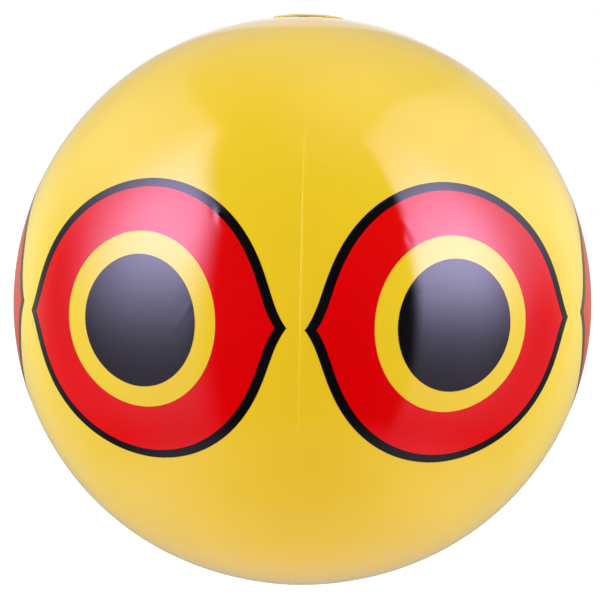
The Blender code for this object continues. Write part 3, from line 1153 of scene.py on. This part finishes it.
@dataclass
class HangingTab:
    """The hanging tab: a welded foot, and a free ear with the cord's hole that folds at y = 0.

    Attributes:
        shape: The ball's outer face.
        width: Width of the tab.
        reach: From the fold to the round end.
        thickness: Thickness of the tab.
        foot: From the fold to the front edge of the foot.
        corner: Radius of the foot's corners.
        hole_radius: Radius of the cord's hole.
        hole_edge: From the middle of the hole to the round end.
        edge_round: Rounding of all edges.
        weld_border: Border outside the foot's pressed weld.
        weld_depth: Depth of the pressed weld.
        fold_reach: Half of the stretch that bends.
        fold_cuts: Cross lines in the stretch that bends.
        corner_steps: Faces round a corner of the foot.
        round_steps: Faces round the hole, and round the end.
    """

    shape: BallShape
    width: float = 0.030
    reach: float = 0.0385
    thickness: float = 0.0010
    foot: float = 0.014
    corner: float = 0.004
    hole_radius: float = 0.0042
    hole_edge: float = 0.0075
    edge_round: float = 0.0002
    weld_border: float = 0.0022
    weld_depth: float = 0.00018
    fold_reach: float = 0.0012
    fold_cuts: int = 12
    corner_steps: int = 10
    round_steps: int = 48

    def outline(self) -> list[Spot]:
        """Draw the outline of the whole tab.

        Returns:
            Its points, from the foot's left corner anticlockwise.
        """
        half = self.width / 2
        side = half - self.corner
        front = self.corner - self.foot
        left = arc((-side, front), self.corner, math.pi, math.pi * 3 / 2, self.corner_steps)
        right = arc((side, front), self.corner, math.pi * 3 / 2, math.tau, self.corner_steps)
        end = arc((0, self.reach - half), half, 0, math.pi, self.round_steps)
        return left + right + end

    def cut_out(self) -> bmesh.types.BMesh:
        """Cut the tab with its hole out of flat sheet.

        Returns:
            The tab, around z = 0.
        """
        curve = bpy.data.curves.new("tab_outline", "CURVE")
        curve.dimensions = "2D"
        curve.fill_mode = "BOTH"
        curve.extrude = self.thickness / 2
        hole = arc((0, self.reach - self.hole_edge), self.hole_radius, 0, math.tau, self.round_steps)[:-1]
        for outline in (self.outline(), hole):
            spline = curve.splines.new("POLY")
            spline.points.add(len(outline) - 1)
            for point, (x, y) in zip(spline.points, outline):
                point.co = (x, y, 0, 1)
            spline.use_cyclic_u = True
        drawn = bpy.data.objects.new("tab_outline", curve)
        bm = bmesh.new()
        bm.from_mesh(bpy.data.meshes.new_from_object(drawn))
        bpy.data.objects.remove(drawn, do_unlink=True)
        bmesh.ops.remove_doubles(bm, verts=bm.verts, dist=MERGE)
        bmesh.ops.dissolve_limit(
            bm, angle_limit=math.radians(1), verts=bm.verts, edges=bm.edges, delimit={"NORMAL"}
        )
        bmesh.ops.recalc_face_normals(bm, faces=bm.faces)
        return bm

    def build(self) -> bpy.types.Object:
        """Make the tab.

        Returns:
            The piece, which bends between the balloon and its free ear.
        """
        bm = self.cut_out()
        round_edges(bm, self.edge_round, 2)
        for cut in range(self.fold_cuts + 1):
            place = self.fold_reach * (2 * cut / self.fold_cuts - 1)
            geom = bm.verts[:] + bm.edges[:] + bm.faces[:]
            bmesh.ops.bisect_plane(bm, geom=geom, dist=MERGE, plane_co=(0, place, 0), plane_no=(0, 1, 0))
        self.press_weld(bm)
        bmesh.ops.triangulate(bm, faces=[face for face in bm.faces if len(face.verts) > 4])
        height = 2 * self.shape.half_height + self.shape.gap + self.thickness / 2
        bmesh.ops.translate(bm, verts=bm.verts, vec=(0, 0, height))
        piece = add_piece("folding_hang_tab", bm, SHEET, ("tab_foot", "hang_tab"))
        start = (0, -self.fold_reach, height)
        end = (0, self.fold_reach, height)
        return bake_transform(piece, "balloon", "hanging_tab", start=start, end=end)

    def press_weld(self, bm: bmesh.types.BMesh) -> None:
        """Press the weld into the foot's upper face.

        Args:
            bm: The flat tab, around z = 0.
        """
        tops = [
            face
            for face in bm.faces
            if face.normal.z > FACING_UP and face.calc_center_median().y < -self.fold_reach - self.corner
        ]
        if tops:
            for width, depth in ((self.weld_border, 0.0), (self.weld_depth, -self.weld_depth)):
                bmesh.ops.inset_region(bm, faces=tops, thickness=width, depth=depth, use_even_offset=True)


@dataclass
class SafetyValve:
    """The push-in valve: a welded base, a rolling membrane, a stem with its flap, and a plug on a strap.

    Attributes:
        shape: The ball's outer face.
        flange_thickness: Thickness of the flange on the film.
        groove_half_width: Half width of the groove that welding the flange leaves.
        groove_depth: Depth of that groove.
        collar_inner: Inner radius of the collar.
        collar_wall: Wall of the collar.
        collar_depth: How far the collar reaches through the film.
        stem_bore: Radius of the stem's bore.
        stem_wall: Wall of the stem.
        stem_length: Length of the stem.
        stem_sunk: How far the stem's top lies under the film's face.
        stem_rim_radius: Radius of the rim round the stem's top.
        stem_rim: Height of that rim.
        membrane: Thickness of the membrane.
        membrane_top: How far the membrane's outer edge lies under the film's face.
        membrane_drop: How far it drops from there to the stem.
        membrane_steps: Faces across the membrane.
        plug_radius: Radius of the plug's head.
        plug_head: Height of the plug's head.
        dish: Depth of the dish in the plug's head.
        dish_share: Radius of the dish's floor, as a share of the head's.
        dish_rim_share: Radius of the dish's rim, as a share of the head's.
        spigot_length: Length of the plug's spigot.
        spigot_lead: Length of the spigot's tapered end.
        spigot_taper: How much that end tapers, on the radius.
        lip_reach: How far the finger's lip reaches past the head.
        lip_width: Width of the lip.
        lip_thickness: Thickness of the lip.
        flap_radius: Radius of the flap.
        flap_thickness: Thickness of the flap.
        flap_hinge: From the stem's axis to the end of the flap's tongue.
        flap_tongue: Width of the tongue.
        strap_width: Width of the strap.
        strap_thickness: Thickness of the strap.
        strap_loop: How far the strap's bend reaches past the plug's head.
        strap_bend: Radius of the strap's bend, at its middle line.
        bend_steps: Stretches in a quarter of the bend.
        leg_cuts: Cross lines added in each straight stretch of the strap.
        edge_round: Rounding of the mouldings' edges.
        steps: Faces round the valve.
    """

    shape: BallShape
    flange_thickness: float = 0.0008
    groove_half_width: float = 0.00088
    groove_depth: float = 0.00022
    collar_inner: float = 0.010
    collar_wall: float = 0.0008
    collar_depth: float = 0.0022
    stem_bore: float = 0.0042
    stem_wall: float = 0.0013
    stem_length: float = 0.0124
    stem_sunk: float = 0.0006
    stem_rim_radius: float = 0.0070
    stem_rim: float = 0.0012
    membrane: float = 0.0005
    membrane_top: float = 0.0010
    membrane_drop: float = 0.0070
    membrane_steps: int = 24
    plug_radius: float = 0.0075
    plug_head: float = 0.0016
    dish: float = 0.00022
    dish_share: float = 0.6
    dish_rim_share: float = 0.7
    spigot_length: float = 0.0070
    spigot_lead: float = 0.0018
    spigot_taper: float = 0.0008
    lip_reach: float = 0.0018
    lip_width: float = 0.0034
    lip_thickness: float = 0.0008
    flap_radius: float = 0.0050
    flap_thickness: float = 0.0007
    flap_hinge: float = 0.0058
    flap_tongue: float = 0.0030
    strap_width: float = 0.0030
    strap_thickness: float = 0.0006
    strap_loop: float = 0.0075
    strap_bend: float = 0.0009
    bend_steps: int = 8
    leg_cuts: int = 6
    edge_round: float = 0.00022
    steps: int = 96

    @property
    def stem_radius(self) -> float:
        """Outer radius of the stem's tube."""
        return self.stem_bore + self.stem_wall

    @property
    def stem_end(self) -> float:
        """From the film's face down to the stem's inner end."""
        return self.stem_sunk + self.stem_length

    @property
    def plug_under(self) -> float:
        """Height of the underside of the plug's head."""
        return self.shape.gap - self.stem_sunk

    def place(self, name: str, bm: bmesh.types.BMesh, node: str) -> bpy.types.Object:
        """Put a moulding, made in the valve's own frame, in its place on the ball.

        Args:
            name: The piece's name.
            bm: Its shape.
            node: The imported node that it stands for.

        Returns:
            The piece.
        """
        bmesh.ops.transform(bm, matrix=self.shape.valve_seat, verts=bm.verts)
        return add_piece(name, bm, MOULDED, (node,), sharp=50.0)

    def at(self, across: float, height: float) -> Vector:
        """Point of the valve's own frame, in the part's frame."""
        return self.shape.valve_seat @ Vector((across, 0, height))

    def build(self) -> list[bpy.types.Object]:
        """Make the valve.

        Returns:
            Its pieces.
        """
        return [
            self.build_base(),
            self.build_membrane(),
            self.build_stem(),
            self.build_flap(),
            self.build_plug(),
            *self.build_strap(),
        ]

    def build_base(self) -> bpy.types.Object:
        """Make the flange on the film and the collar through it.

        Returns:
            The piece.
        """
        bottom = self.shape.gap
        top = bottom + self.flange_thickness
        flange = self.shape.flange_radius
        collar = self.collar_inner + self.collar_wall
        groove = (flange + collar) / 2
        deep = self.groove_half_width - self.groove_depth
        profile = [
            (self.collar_inner, top),
            (groove - self.groove_half_width, top),
            (groove - deep, top - self.groove_depth),
            (groove + deep, top - self.groove_depth),
            (groove + self.groove_half_width, top),
            (flange, top),
            (flange, bottom),
            (collar, bottom),
            (collar, -self.collar_depth),
            (self.collar_inner, -self.collar_depth),
        ]
        bm = turned_shape(profile, True, self.steps)
        round_edges(bm, self.edge_round)
        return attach(self.place("valve_flange", bm, "valve_base"), "balloon")

    def build_membrane(self) -> bpy.types.Object:
        """Make the soft ring that rolls between the collar and the stem.

        Returns:
            The piece, which bends between the balloon and the stem.
        """
        outer = self.collar_inner - self.shape.gap / 4 - self.membrane / 2
        inner = self.stem_radius + self.membrane / 2
        profile = []
        for step in range(self.membrane_steps + 1):
            turn = math.pi / 2 * (1 - step / self.membrane_steps)
            radius = inner + (outer - inner) * math.sin(turn)
            profile.append((radius, -self.membrane_top - self.membrane_drop * math.cos(turn)))
        bm = turned_shape(profile, False, self.steps)
        bmesh.ops.solidify(bm, geom=bm.faces[:], thickness=self.membrane)
        piece = self.place("rolling_membrane", bm, "valve_membrane")
        start = self.at(0, -self.membrane_top)
        end = self.at(0, -self.membrane_top - self.membrane_drop)
        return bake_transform(piece, "balloon", "stem", start=start, end=end)

    def build_stem(self) -> bpy.types.Object:
        """Make the tube that the air goes in by.

        Returns:
            The piece.
        """
        top = -self.stem_sunk
        neck = top - self.stem_rim
        profile = [
            (self.stem_bore, top),
            (self.stem_rim_radius, top),
            (self.stem_rim_radius, neck),
            (self.stem_radius, neck),
            (self.stem_radius, -self.stem_end),
            (self.stem_bore, -self.stem_end),
        ]
        bm = turned_shape(profile, True, self.steps)
        round_edges(bm, self.edge_round)
        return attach(self.place("valve_tube", bm, "valve_stem"), "stem")

    def build_flap(self) -> bpy.types.Object:
        """Make the non-return flap under the stem's inner end.

        Returns:
            The piece.
        """
        top = -self.stem_end - self.shape.gap
        bottom = top - self.flap_thickness
        profile = [(0, top), (self.flap_radius, top), (self.flap_radius, bottom), (0, bottom)]
        bm = turned_shape(profile, False, self.steps)
        tongue = (self.flap_radius, self.flap_tongue, self.flap_thickness)
        join_block(bm, tongue, (self.flap_radius / 2 - self.flap_hinge, 0, (top + bottom) / 2))
        round_edges(bm, self.edge_round / 2, 2)
        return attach(self.place("return_flap", bm, "valve_flap"), "flap")

    def build_plug(self) -> bpy.types.Object:
        """Make the plug, with a lip for the finger at one side.

        Returns:
            The piece.
        """
        under = self.plug_under
        top = under + self.plug_head
        spigot = self.stem_bore - self.shape.gap / 2
        end = under - self.spigot_length
        profile = [
            (0, top - self.dish),
            (self.plug_radius * self.dish_share, top - self.dish),
            (self.plug_radius * self.dish_rim_share, top),
            (self.plug_radius, top),
            (self.plug_radius, under),
            (spigot, under),
            (spigot, end + self.spigot_lead),
            (spigot - self.spigot_taper, end),
            (0, end),
        ]
        bm = turned_shape(profile, False, self.steps)
        length = self.plug_radius / 2 + self.lip_reach
        lip = (length, self.lip_width, self.lip_thickness)
        join_block(bm, lip, (self.plug_radius / 2 + length / 2, 0, under + self.plug_head / 2))
        round_edges(bm, self.edge_round, 2)
        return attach(self.place("stopper_plug", bm, "valve_plug"), "plug")

    def strap_legs(self) -> tuple[list[Spot], list[Spot]]:
        """Middle lines of the strap's two legs, as distance out from the axis and height.

        Returns:
            The leg from the stem's rim to the far bend, and the one from there to the plug's head.
        """
        stem_height = -self.stem_sunk - self.stem_rim / 2
        plug_height = self.plug_under + self.plug_head / 2
        gap = self.shape.gap
        low = 2 * gap + self.flange_thickness + self.strap_thickness / 2
        turn = self.plug_radius + self.strap_loop - self.strap_bend
        middle = (turn, low + self.strap_bend)
        climb = (self.stem_rim_radius + self.collar_inner) / 2
        lower = [
            (self.stem_rim_radius - gap, stem_height),
            (climb, stem_height + self.strap_thickness),
            (self.collar_inner, low),
        ] + arc(middle, self.strap_bend, -math.pi / 2, 0, self.bend_steps)
        upper = arc(middle, self.strap_bend, 0, math.pi / 2, self.bend_steps) + [
            (self.collar_inner, low + 2 * self.strap_bend),
            (self.plug_radius - gap, plug_height),
        ]
        return lower, upper

    def build_strap(self) -> list[bpy.types.Object]:
        """Make the plug's strap in two legs that meet at its far bend.

        Returns:
            The two pieces, which bend between the stem and the plug.
        """
        lower, upper = self.strap_legs()
        far = lower[-1]
        pieces = []
        for name, leg, own_end in (("lower", lower, lower[0]), ("upper", upper, upper[-1])):
            bm = bmesh.new()
            verts = [bm.verts.new((-out, -self.strap_width / 2, height)) for out, height in leg]
            edges = [bm.edges.new(pair) for pair in zip(verts, verts[1:])]
            straight = len(edges) - self.bend_steps
            stretches = edges[:straight] if name == "lower" else edges[-straight:]
            bmesh.ops.subdivide_edges(bm, edges=stretches, cuts=self.leg_cuts)
            sides = bmesh.ops.extrude_edge_only(bm, edges=bm.edges[:])["geom"]
            moved = [item for item in sides if isinstance(item, bmesh.types.BMVert)]
            bmesh.ops.translate(bm, verts=moved, vec=(0, self.strap_width, 0))
            bmesh.ops.recalc_face_normals(bm, faces=bm.faces)
            bmesh.ops.solidify(bm, geom=bm.faces[:], thickness=self.strap_thickness)
            piece = self.place(f"strap_{name}_leg", bm, "plug_strap")
            mirrored = (-(2 * far[0] - own_end[0]), own_end[1])
            own = (-own_end[0], own_end[1])
            start, end = (own, mirrored) if name == "lower" else (mirrored, own)
            pieces.append(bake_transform(piece, "stem", "plug", start=self.at(*start), end=self.at(*end)))
        return pieces


@dataclass(frozen=True)
class Fade:
    """A smooth change of brightness with an angle.

    Attributes:
        start: Angle at which it starts, in degrees.
        end: Angle at which it ends, in degrees.
        low: Brightness at the start and before it.
        high: Brightness at the end and past it.
    """

    start: float
    end: float
    low: float = 0.0
    high: float = 1.0

    def at(self, graph: Graph, angle: Socket) -> Socket:
        """Brightness at an angle."""
        return graph.ramp(angle, self.start, self.end, self.low, self.high)


@dataclass(frozen=True)
class Surround:
    """A soft, broad part of the studio round the ball.

    Attributes:
        azimuths: How its brightness changes from the front, at 0 degrees, to the rear, at 180.
        elevations: How it changes with the elevation above level.
    """

    azimuths: tuple[Fade, ...]
    elevations: tuple[Fade, ...]

    def radiance(self, graph: Graph, around: Socket, elevation: Socket) -> Socket:
        """Brightness in a direction."""
        level = [fade.at(graph, around) for fade in self.azimuths]
        return graph.product(*level, *[fade.at(graph, elevation) for fade in self.elevations])


@dataclass(frozen=True)
class Glow:
    """Soft light that only diffuse surfaces gather from one direction.

    Attributes:
        colour: Radiance that it adds there, or takes away where negative.
        towards: The direction that it comes from, of about length 1.
        edge: Cosine of the angle from that direction at which it ends.
    """

    colour: Colour
    towards: tuple[float, float, float]
    edge: float


@dataclass(frozen=True)
class Softbox:
    """A tall soft light at one side of the studio, and the wall that it washes.

    Angles are in degrees. Azimuth is measured from the front towards the light's side, and elevation
    from level.

    Attributes:
        side: 1 to the right of the front, -1 to the left.
        inner: Azimuth of the edge nearest to the front.
        blur: Half of that edge's width.
        corner: Elevation at which that edge starts to lean outwards.
        lean: How fast it leans, in degrees of azimuth for each degree of elevation.
        top: Elevation of the top edge.
        fall: How fast the top edge falls past the side, towards the rear, per degree of azimuth squared.
        middle: Azimuth and elevation of the bright middle.
        tilt: How fast the bright middle leans outwards above its elevation, in degrees for each degree.
        across: How far the bright middle reaches towards the front and towards the rear.
        upright: How far the bright middle reaches down and up.
        strength: Radiance of the bright middle.
        wash: Radiance of the wall behind the light and at the side.
        climb: How the side wall brightens upwards.
        to_rear: How the wall darkens towards the rear.
        top_blur: Half width of the top edge.
        near_end: How the wall behind the light ends towards the side.
        near_climb: How that wall brightens upwards.
        side_start: How the side wall starts past the light.
        foot: How the wall starts over the floor.
        head: How the wall darkens under the ceiling.
    """

    side: int
    inner: float
    blur: float
    corner: float
    lean: float
    top: float
    fall: float
    middle: tuple[float, float]
    tilt: float
    across: tuple[float, float]
    upright: tuple[float, float]
    strength: float
    wash: tuple[float, float]
    climb: Fade
    to_rear: Fade
    top_blur: float = 2.5
    near_end: Fade = Fade(92.0, 68.0)
    near_climb: Fade = Fade(0.0, 36.0, low=0.75)
    side_start: Fade = Fade(66.0, 92.0)
    foot: Fade = Fade(-54.0, -22.0)
    head: Fade = Fade(75.0, 46.0, low=0.2)

    def radiance(self, graph: Graph, azimuth: Socket, elevation: Socket) -> tuple[Socket, Socket]:
        """Add the nodes of the light.

        Args:
            graph: The world's nodes.
            azimuth: Azimuth of the ray, in degrees, positive to the right.
            elevation: Elevation of the ray, in degrees.

        Returns:
            Radiance of the light itself and of its wall.
        """
        out = graph.math("MULTIPLY", azimuth, float(self.side))
        above = graph.math("MAXIMUM", graph.math("SUBTRACT", elevation, self.corner), 0.0)
        from_edge = graph.math("SUBTRACT", out, graph.math("MULTIPLY", above, self.lean))
        inside = graph.ramp(from_edge, self.inner - self.blur, self.inner + self.blur)
        past_side = graph.math("MAXIMUM", graph.math("SUBTRACT", out, SIDE), 0.0)
        fallen = graph.total(elevation, graph.product(past_side, past_side, self.fall))
        below_top = graph.ramp(fallen, self.top + self.top_blur, self.top - self.top_blur)
        panel = graph.math("MULTIPLY", inside, below_top)
        over_middle = graph.math("MAXIMUM", graph.math("SUBTRACT", elevation, self.middle[1]), 0.0)
        leaning = graph.math("MULTIPLY", over_middle, self.tilt)
        bright = graph.product(
            graph.bell(graph.math("SUBTRACT", out, leaning), self.middle[0], *self.across),
            graph.bell(elevation, self.middle[1], *self.upright),
            panel,
            self.strength,
        )
        near = graph.product(self.near_end.at(graph, out), self.near_climb.at(graph, elevation))
        aside = graph.product(self.side_start.at(graph, out), self.climb.at(graph, elevation))
        wall = graph.product(
            graph.total(graph.product(near, self.wash[0]), graph.product(aside, self.wash[1])),
            self.to_rear.at(graph, out),
            self.foot.at(graph, elevation),
            self.head.at(graph, elevation),
            panel,
        )
        return bright, wall


@dataclass
class Studio:
    """The plain studio: white to the camera, soft light all round, and two softboxes in the gloss.

    Attributes:
        shape: The ball's outer face.
        floor_drop: How far the floor lies below the ball.
        floor_reach: Radius of the floor.
        floor_colour: Colour of the floor.
        floor_glow: Colour of the light that the floor adds to the camera's view of it.
        floor_glow_strength: Strength of that light.
        view_distance: From the camera to the ball's centre.
        view_elevation: How far the camera stands above level, as an angle.
        view_roll: How far the ball leans in the photograph.
        lens: Focal length of the camera, in millimetres.
        sensor: Width of its sensor, in millimetres.
        off_centre: How far the ball's centre is right of the picture's and above it, in pixels.
        picture: Width of the picture, in pixels.
        near_clip: Nearest distance that the camera sees.
        sky: Radiance from above, for diffuse surfaces.
        ground: Radiance from below, for diffuse surfaces.
        horizon: Heights of the ray's direction between which the ground runs into the sky.
        light_tint: Colour of the softboxes.
        wall_tint: Colour of the walls, the ceiling and the floor in the gloss.
        backdrop_tint: Colour of the backdrop in the gloss.
        band_middle: Elevation of the bright band behind the ball, in degrees.
        band_size: Half width and half height of the band, in degrees.
        band_edge: Where the band's brightness starts to fall and where it has gone, as shares of its size.
        band_radiance: Radiance of the band.
        lopsided: Brightness of the ceiling over the ball, and how much it grows to the right.
        GLOWS: Soft lights for the diffuse surfaces, besides the sky and the ground.
        CEILING: The ceiling in the gloss.
        FLOOR_LIGHT: The floor in the gloss.
        BACKDROP: The backdrop behind the ball in the gloss.
        LIGHTS: The two softboxes, on the left and on the right.
    """

    shape: BallShape
    floor_drop: float = 0.6
    floor_reach: float = 60.0
    floor_colour: Colour = (0.85, 0.85, 0.85)
    floor_glow: Colour = (0.62, 0.72, 1.0)
    floor_glow_strength: float = 0.42
    view_distance: float = 1.0
    view_elevation: float = math.radians(4.4046)
    view_roll: float = math.radians(1.2)
    lens: float = 85.06
    sensor: float = 36.0
    off_centre: tuple[float, float] = (2.4, 0.6)
    picture: float = 600.0
    near_clip: float = 0.01
    sky: Colour = (1.27, 1.52, 1.11)
    ground: Colour = (1.105, 1.125, 0.46)
    horizon: tuple[float, float] = (-0.7, 0.5)
    light_tint: Colour = (0.655, 0.605, 1.0)
    wall_tint: Colour = (0.82, 0.74, 1.0)
    backdrop_tint: Colour = (0.90, 0.87, 0.68)
    band_middle: float = 18.0
    band_size: tuple[float, float] = (10.0, 18.0)
    band_edge: tuple[float, float] = (0.85, 1.15)
    band_radiance: float = 0.5
    lopsided: tuple[float, float] = (0.4, 1.3)

    GLOWS = (
        Glow((0.53, 0.89, 1.30), (1.0, 0.0, 0.0), 0.42),
        Glow((0.53, 0.89, 1.30), (-1.0, 0.0, 0.0), 0.42),
        Glow((-0.48, -1.06, -1.10), (0.0, 0.0, 1.0), 0.5),
        Glow((0.51, 0.44, 0.08), (0.0, 0.0, -1.0), 0.5),
        Glow((-0.30, -0.89, -0.27), (0.0, 1.0, 0.0), 0.0),
        Glow((-0.97, -1.23, 0.10), (0.0, -0.94, -0.34), 0.2),
        Glow((0.36, 0.18, 0.0), (0.0, -0.866, -0.5), 0.7),
        Glow((0.22, 0.26, 0.05), (0.0, -0.819, 0.574), 0.3),
    )
    CEILING = Surround((), (Fade(42.0, 80.0),))
    FLOOR_LIGHT = Surround(
        (Fade(20.0, 85.0, low=0.2, high=0.55), Fade(150.0, 105.0, low=0.2)),
        (Fade(-38.0, -50.0), Fade(-70.0, -50.0, low=0.25)),
    )
    BACKDROP = Surround(
        (Fade(96.0, 126.0), Fade(120.0, 160.0, low=1.0, high=0.5)),
        (Fade(30.0, 8.0), Fade(-26.0, 6.0, low=0.15), Fade(-58.0, -28.0)),
    )
    LIGHTS = (
        Softbox(
            side=-1,
            inner=50.3,
            blur=8.0,
            corner=35.0,
            lean=1.1,
            top=60.5,
            fall=0.0035,
            middle=(63.5, 22.5),
            tilt=0.2,
            across=(40.0, 16.0),
            upright=(22.5, 30.0),
            strength=10.6,
            wash=(0.95, 1.8),
            climb=Fade(8.0, 40.0, low=0.12),
            to_rear=Fade(95.0, 155.0, low=1.0, high=0.08),
        ),
        Softbox(
            side=1,
            inner=53.0,
            blur=2.4,
            corner=18.0,
            lean=0.14,
            top=63.2,
            fall=0.0082,
            middle=(66.5, 15.0),
            tilt=0.12,
            across=(28.0, 12.5),
            upright=(18.3, 29.0),
            strength=11.3,
            wash=(1.05, 2.3),
            climb=Fade(-8.0, 30.0, low=0.12),
            to_rear=Fade(90.0, 148.0, low=1.0, high=0.08),
        ),
    )

    def build(self) -> None:
        """Set up the world, the floor, the camera and the view settings."""
        self.build_world()
        self.build_floor()
        self.build_camera()
        bpy.context.scene.view_settings.view_transform = "Standard"

    def build_world(self) -> None:
        """Light the scene from all round, with softboxes that only glossy surfaces show."""
        world = bpy.data.worlds.new("soft_studio")
        bpy.context.scene.world = world
        world.use_nodes = True
        world.cycles.sampling_method = "NONE"
        graph = Graph(world.node_tree)
        level = graph.add("ShaderNodeTexCoord").outputs["Generated"]
        leaning = {"Vector": level, "Rotation": (0.0, self.view_roll, 0.0)}
        direction = graph.add("ShaderNodeMapping", leaning, vector_type="VECTOR").outputs["Vector"]
        parts = graph.add("ShaderNodeSeparateXYZ", {0: direction}).outputs
        ambient = graph.mix(graph.ramp(parts["Z"], *self.horizon), (*self.ground, 1), (*self.sky, 1))
        for glow in self.GLOWS:
            both = {0: direction, 1: glow.towards}
            facing = graph.add("ShaderNodeVectorMath", both, operation="DOT_PRODUCT").outputs["Value"]
            ambient = graph.lit(ambient, glow.colour, graph.ramp(facing, glow.edge, 1.0))
        rays = graph.add("ShaderNodeLightPath").outputs
        glossy = self.reflections(graph, parts)
        seen = graph.mix(rays["Is Glossy Ray"], ambient, glossy)
        clear = graph.math("MAXIMUM", rays["Is Camera Ray"], rays["Is Transmission Ray"])
        colour = graph.mix(clear, seen, (1, 1, 1, 1))
        background = graph.add("ShaderNodeBackground", {"Color": colour, "Strength": 1.0})
        graph.add("ShaderNodeOutputWorld", {"Surface": background.outputs[0]})

    def reflections(self, graph: Graph, parts: bpy.types.NodeOutputs) -> Socket:
        """Add the studio that glossy surfaces show.

        Args:
            graph: The world's nodes.
            parts: The ray's direction, as X, Y and Z.

        Returns:
            The studio's colour in that direction.
        """
        forward = graph.math("MULTIPLY", parts["Y"], -1.0)
        azimuth = graph.math("DEGREES", graph.math("ARCTAN2", parts["X"], forward))
        elevation = graph.math("DEGREES", graph.math("ARCSINE", parts["Z"]))
        around = graph.math("ABSOLUTE", azimuth)
        bright, walls = [], []
        for light in self.LIGHTS:
            own, wall = light.radiance(graph, azimuth, elevation)
            bright.append(own)
            walls.append(wall)
        to_right = graph.total(self.lopsided[0], graph.product(parts["X"], self.lopsided[1]))
        to_right = graph.math("MAXIMUM", to_right, 0.0)
        ceiling = graph.product(self.CEILING.radiance(graph, around, elevation), to_right)
        floor = self.FLOOR_LIGHT.radiance(graph, around, elevation)
        walls = graph.total(self.rear_band(graph, around, elevation), ceiling, floor, *walls)
        studio = graph.lit((0.0, 0.0, 0.0), self.wall_tint, walls)
        studio = graph.lit(studio, self.light_tint, graph.total(*bright))
        return graph.lit(studio, self.backdrop_tint, self.BACKDROP.radiance(graph, around, elevation))

    def rear_band(self, graph: Graph, around: Socket, elevation: Socket) -> Socket:
        """Add the bright band straight behind the ball.

        Args:
            graph: The world's nodes.
            around: Azimuth of the ray from the front, in degrees, alike on both sides.
            elevation: Elevation of the ray, in degrees.

        Returns:
            The band's radiance.
        """
        across = graph.math("DIVIDE", graph.math("SUBTRACT", REAR, around), self.band_size[0])
        up = graph.math("DIVIDE", graph.math("SUBTRACT", elevation, self.band_middle), self.band_size[1])
        off = graph.math("SQRT", graph.total(graph.product(across, across), graph.product(up, up)))
        return graph.ramp(off, self.band_edge[1], self.band_edge[0], 0.0, self.band_radiance)

    def build_floor(self) -> None:
        """Lay a plain pale floor well below the ball, which would hang over it in use."""
        bm = bmesh.new()
        bmesh.ops.create_circle(bm, cap_ends=True, segments=64, radius=self.floor_reach)
        bmesh.ops.translate(bm, verts=bm.verts, vec=(0, 0, -self.floor_drop))
        mesh = bpy.data.meshes.new("studio_floor")
        bm.to_mesh(mesh)
        bm.free()
        floor = bpy.data.objects.new("studio_floor", mesh)
        bpy.context.scene.collection.objects.link(floor)
        floor.visible_diffuse = False
        floor.visible_glossy = False
        material = bpy.data.materials.new("pale_floor")
        material.use_nodes = True
        graph = Graph(material.node_tree)
        matt = graph.add("ShaderNodeBsdfDiffuse", {"Color": (*self.floor_colour, 1)})
        rays = graph.add("ShaderNodeLightPath").outputs
        lift = {"Color": (*self.floor_glow, 1), "Strength": self.floor_glow_strength}
        glow = graph.add("ShaderNodeEmission", lift)
        both = graph.add("ShaderNodeAddShader", {0: matt.outputs[0], 1: glow.outputs[0]})
        choice = {0: rays["Is Camera Ray"], 1: matt.outputs[0], 2: both.outputs[0]}
        shown = graph.add("ShaderNodeMixShader", choice)
        clear = graph.add("ShaderNodeBsdfTransparent")
        behind = graph.add("ShaderNodeNewGeometry").outputs["Backfacing"]
        surface = graph.add("ShaderNodeMixShader", {0: behind, 1: shown.outputs[0], 2: clear.outputs[0]})
        graph.add("ShaderNodeOutputMaterial", {"Surface": surface.outputs[0]})
        mesh.materials.append(material)

    def build_camera(self) -> None:
        """Place the camera at the photograph's viewing angle, aimed at the ball's centre."""
        data = bpy.data.cameras.new("photo_camera")
        data.lens = self.lens
        data.sensor_width = self.sensor
        data.shift_x = -self.off_centre[0] / self.picture
        data.shift_y = self.off_centre[1] / self.picture
        data.clip_start = self.near_clip
        data.clip_end = 2 * self.floor_reach
        camera = bpy.data.objects.new("photo_camera", data)
        back = Vector((0, -math.cos(self.view_elevation), math.sin(self.view_elevation)))
        camera.location = self.shape.centre + self.view_distance * back
        camera.rotation_mode = "QUATERNION"
        camera.rotation_quaternion = Quaternion(back, self.view_roll) @ (-back).to_track_quat("-Z", "Y")
        bpy.context.scene.collection.objects.link(camera)
        bpy.context.scene.camera = camera


PACKING_CREASES = (
    Crease(344.1, 18.9, 108.0, 0.008, 0.0026, -0.00015),
    Crease(345.2, 17.9, 108.0, 0.008, 0.0026, 0.00021),
    Crease(346.5, 16.3, 60.0, 0.004, 0.0016, 0.00005),
    Crease(340.8, 2.6, 62.0, 0.010, 0.0028, 0.00007),
    Crease(338.8, -0.4, 55.0, 0.009, 0.0026, 0.00006),
    Crease(17.6, 17.6, 145.0, 0.008, 0.0032, 0.00008),
    Crease(18.3, 14.8, 120.0, 0.006, 0.0030, -0.00005),
    Crease(22.1, 6.9, 24.0, 0.017, 0.0026, 0.00005),
    Crease(23.6, 5.7, 172.0, 0.009, 0.0024, -0.00004),
    Crease(36.5, -3.6, 20.0, 0.003, 0.0022, 0.00007),
)


def main() -> None:
    """Build the balloon and its studio."""
    logging.basicConfig(level=logging.INFO, format="%(name)s: %(message)s")
    shape = BallShape(creases=PACKING_CREASES)
    Studio(shape).build()
    FilmGores(shape).build()
    PrintedEyes(shape).build()
    [PoleCap(shape, pole).build() for pole in Pole]
    HangingTab(shape).build()
    SafetyValve(shape).build()


if __name__ == "__main__":
    main()
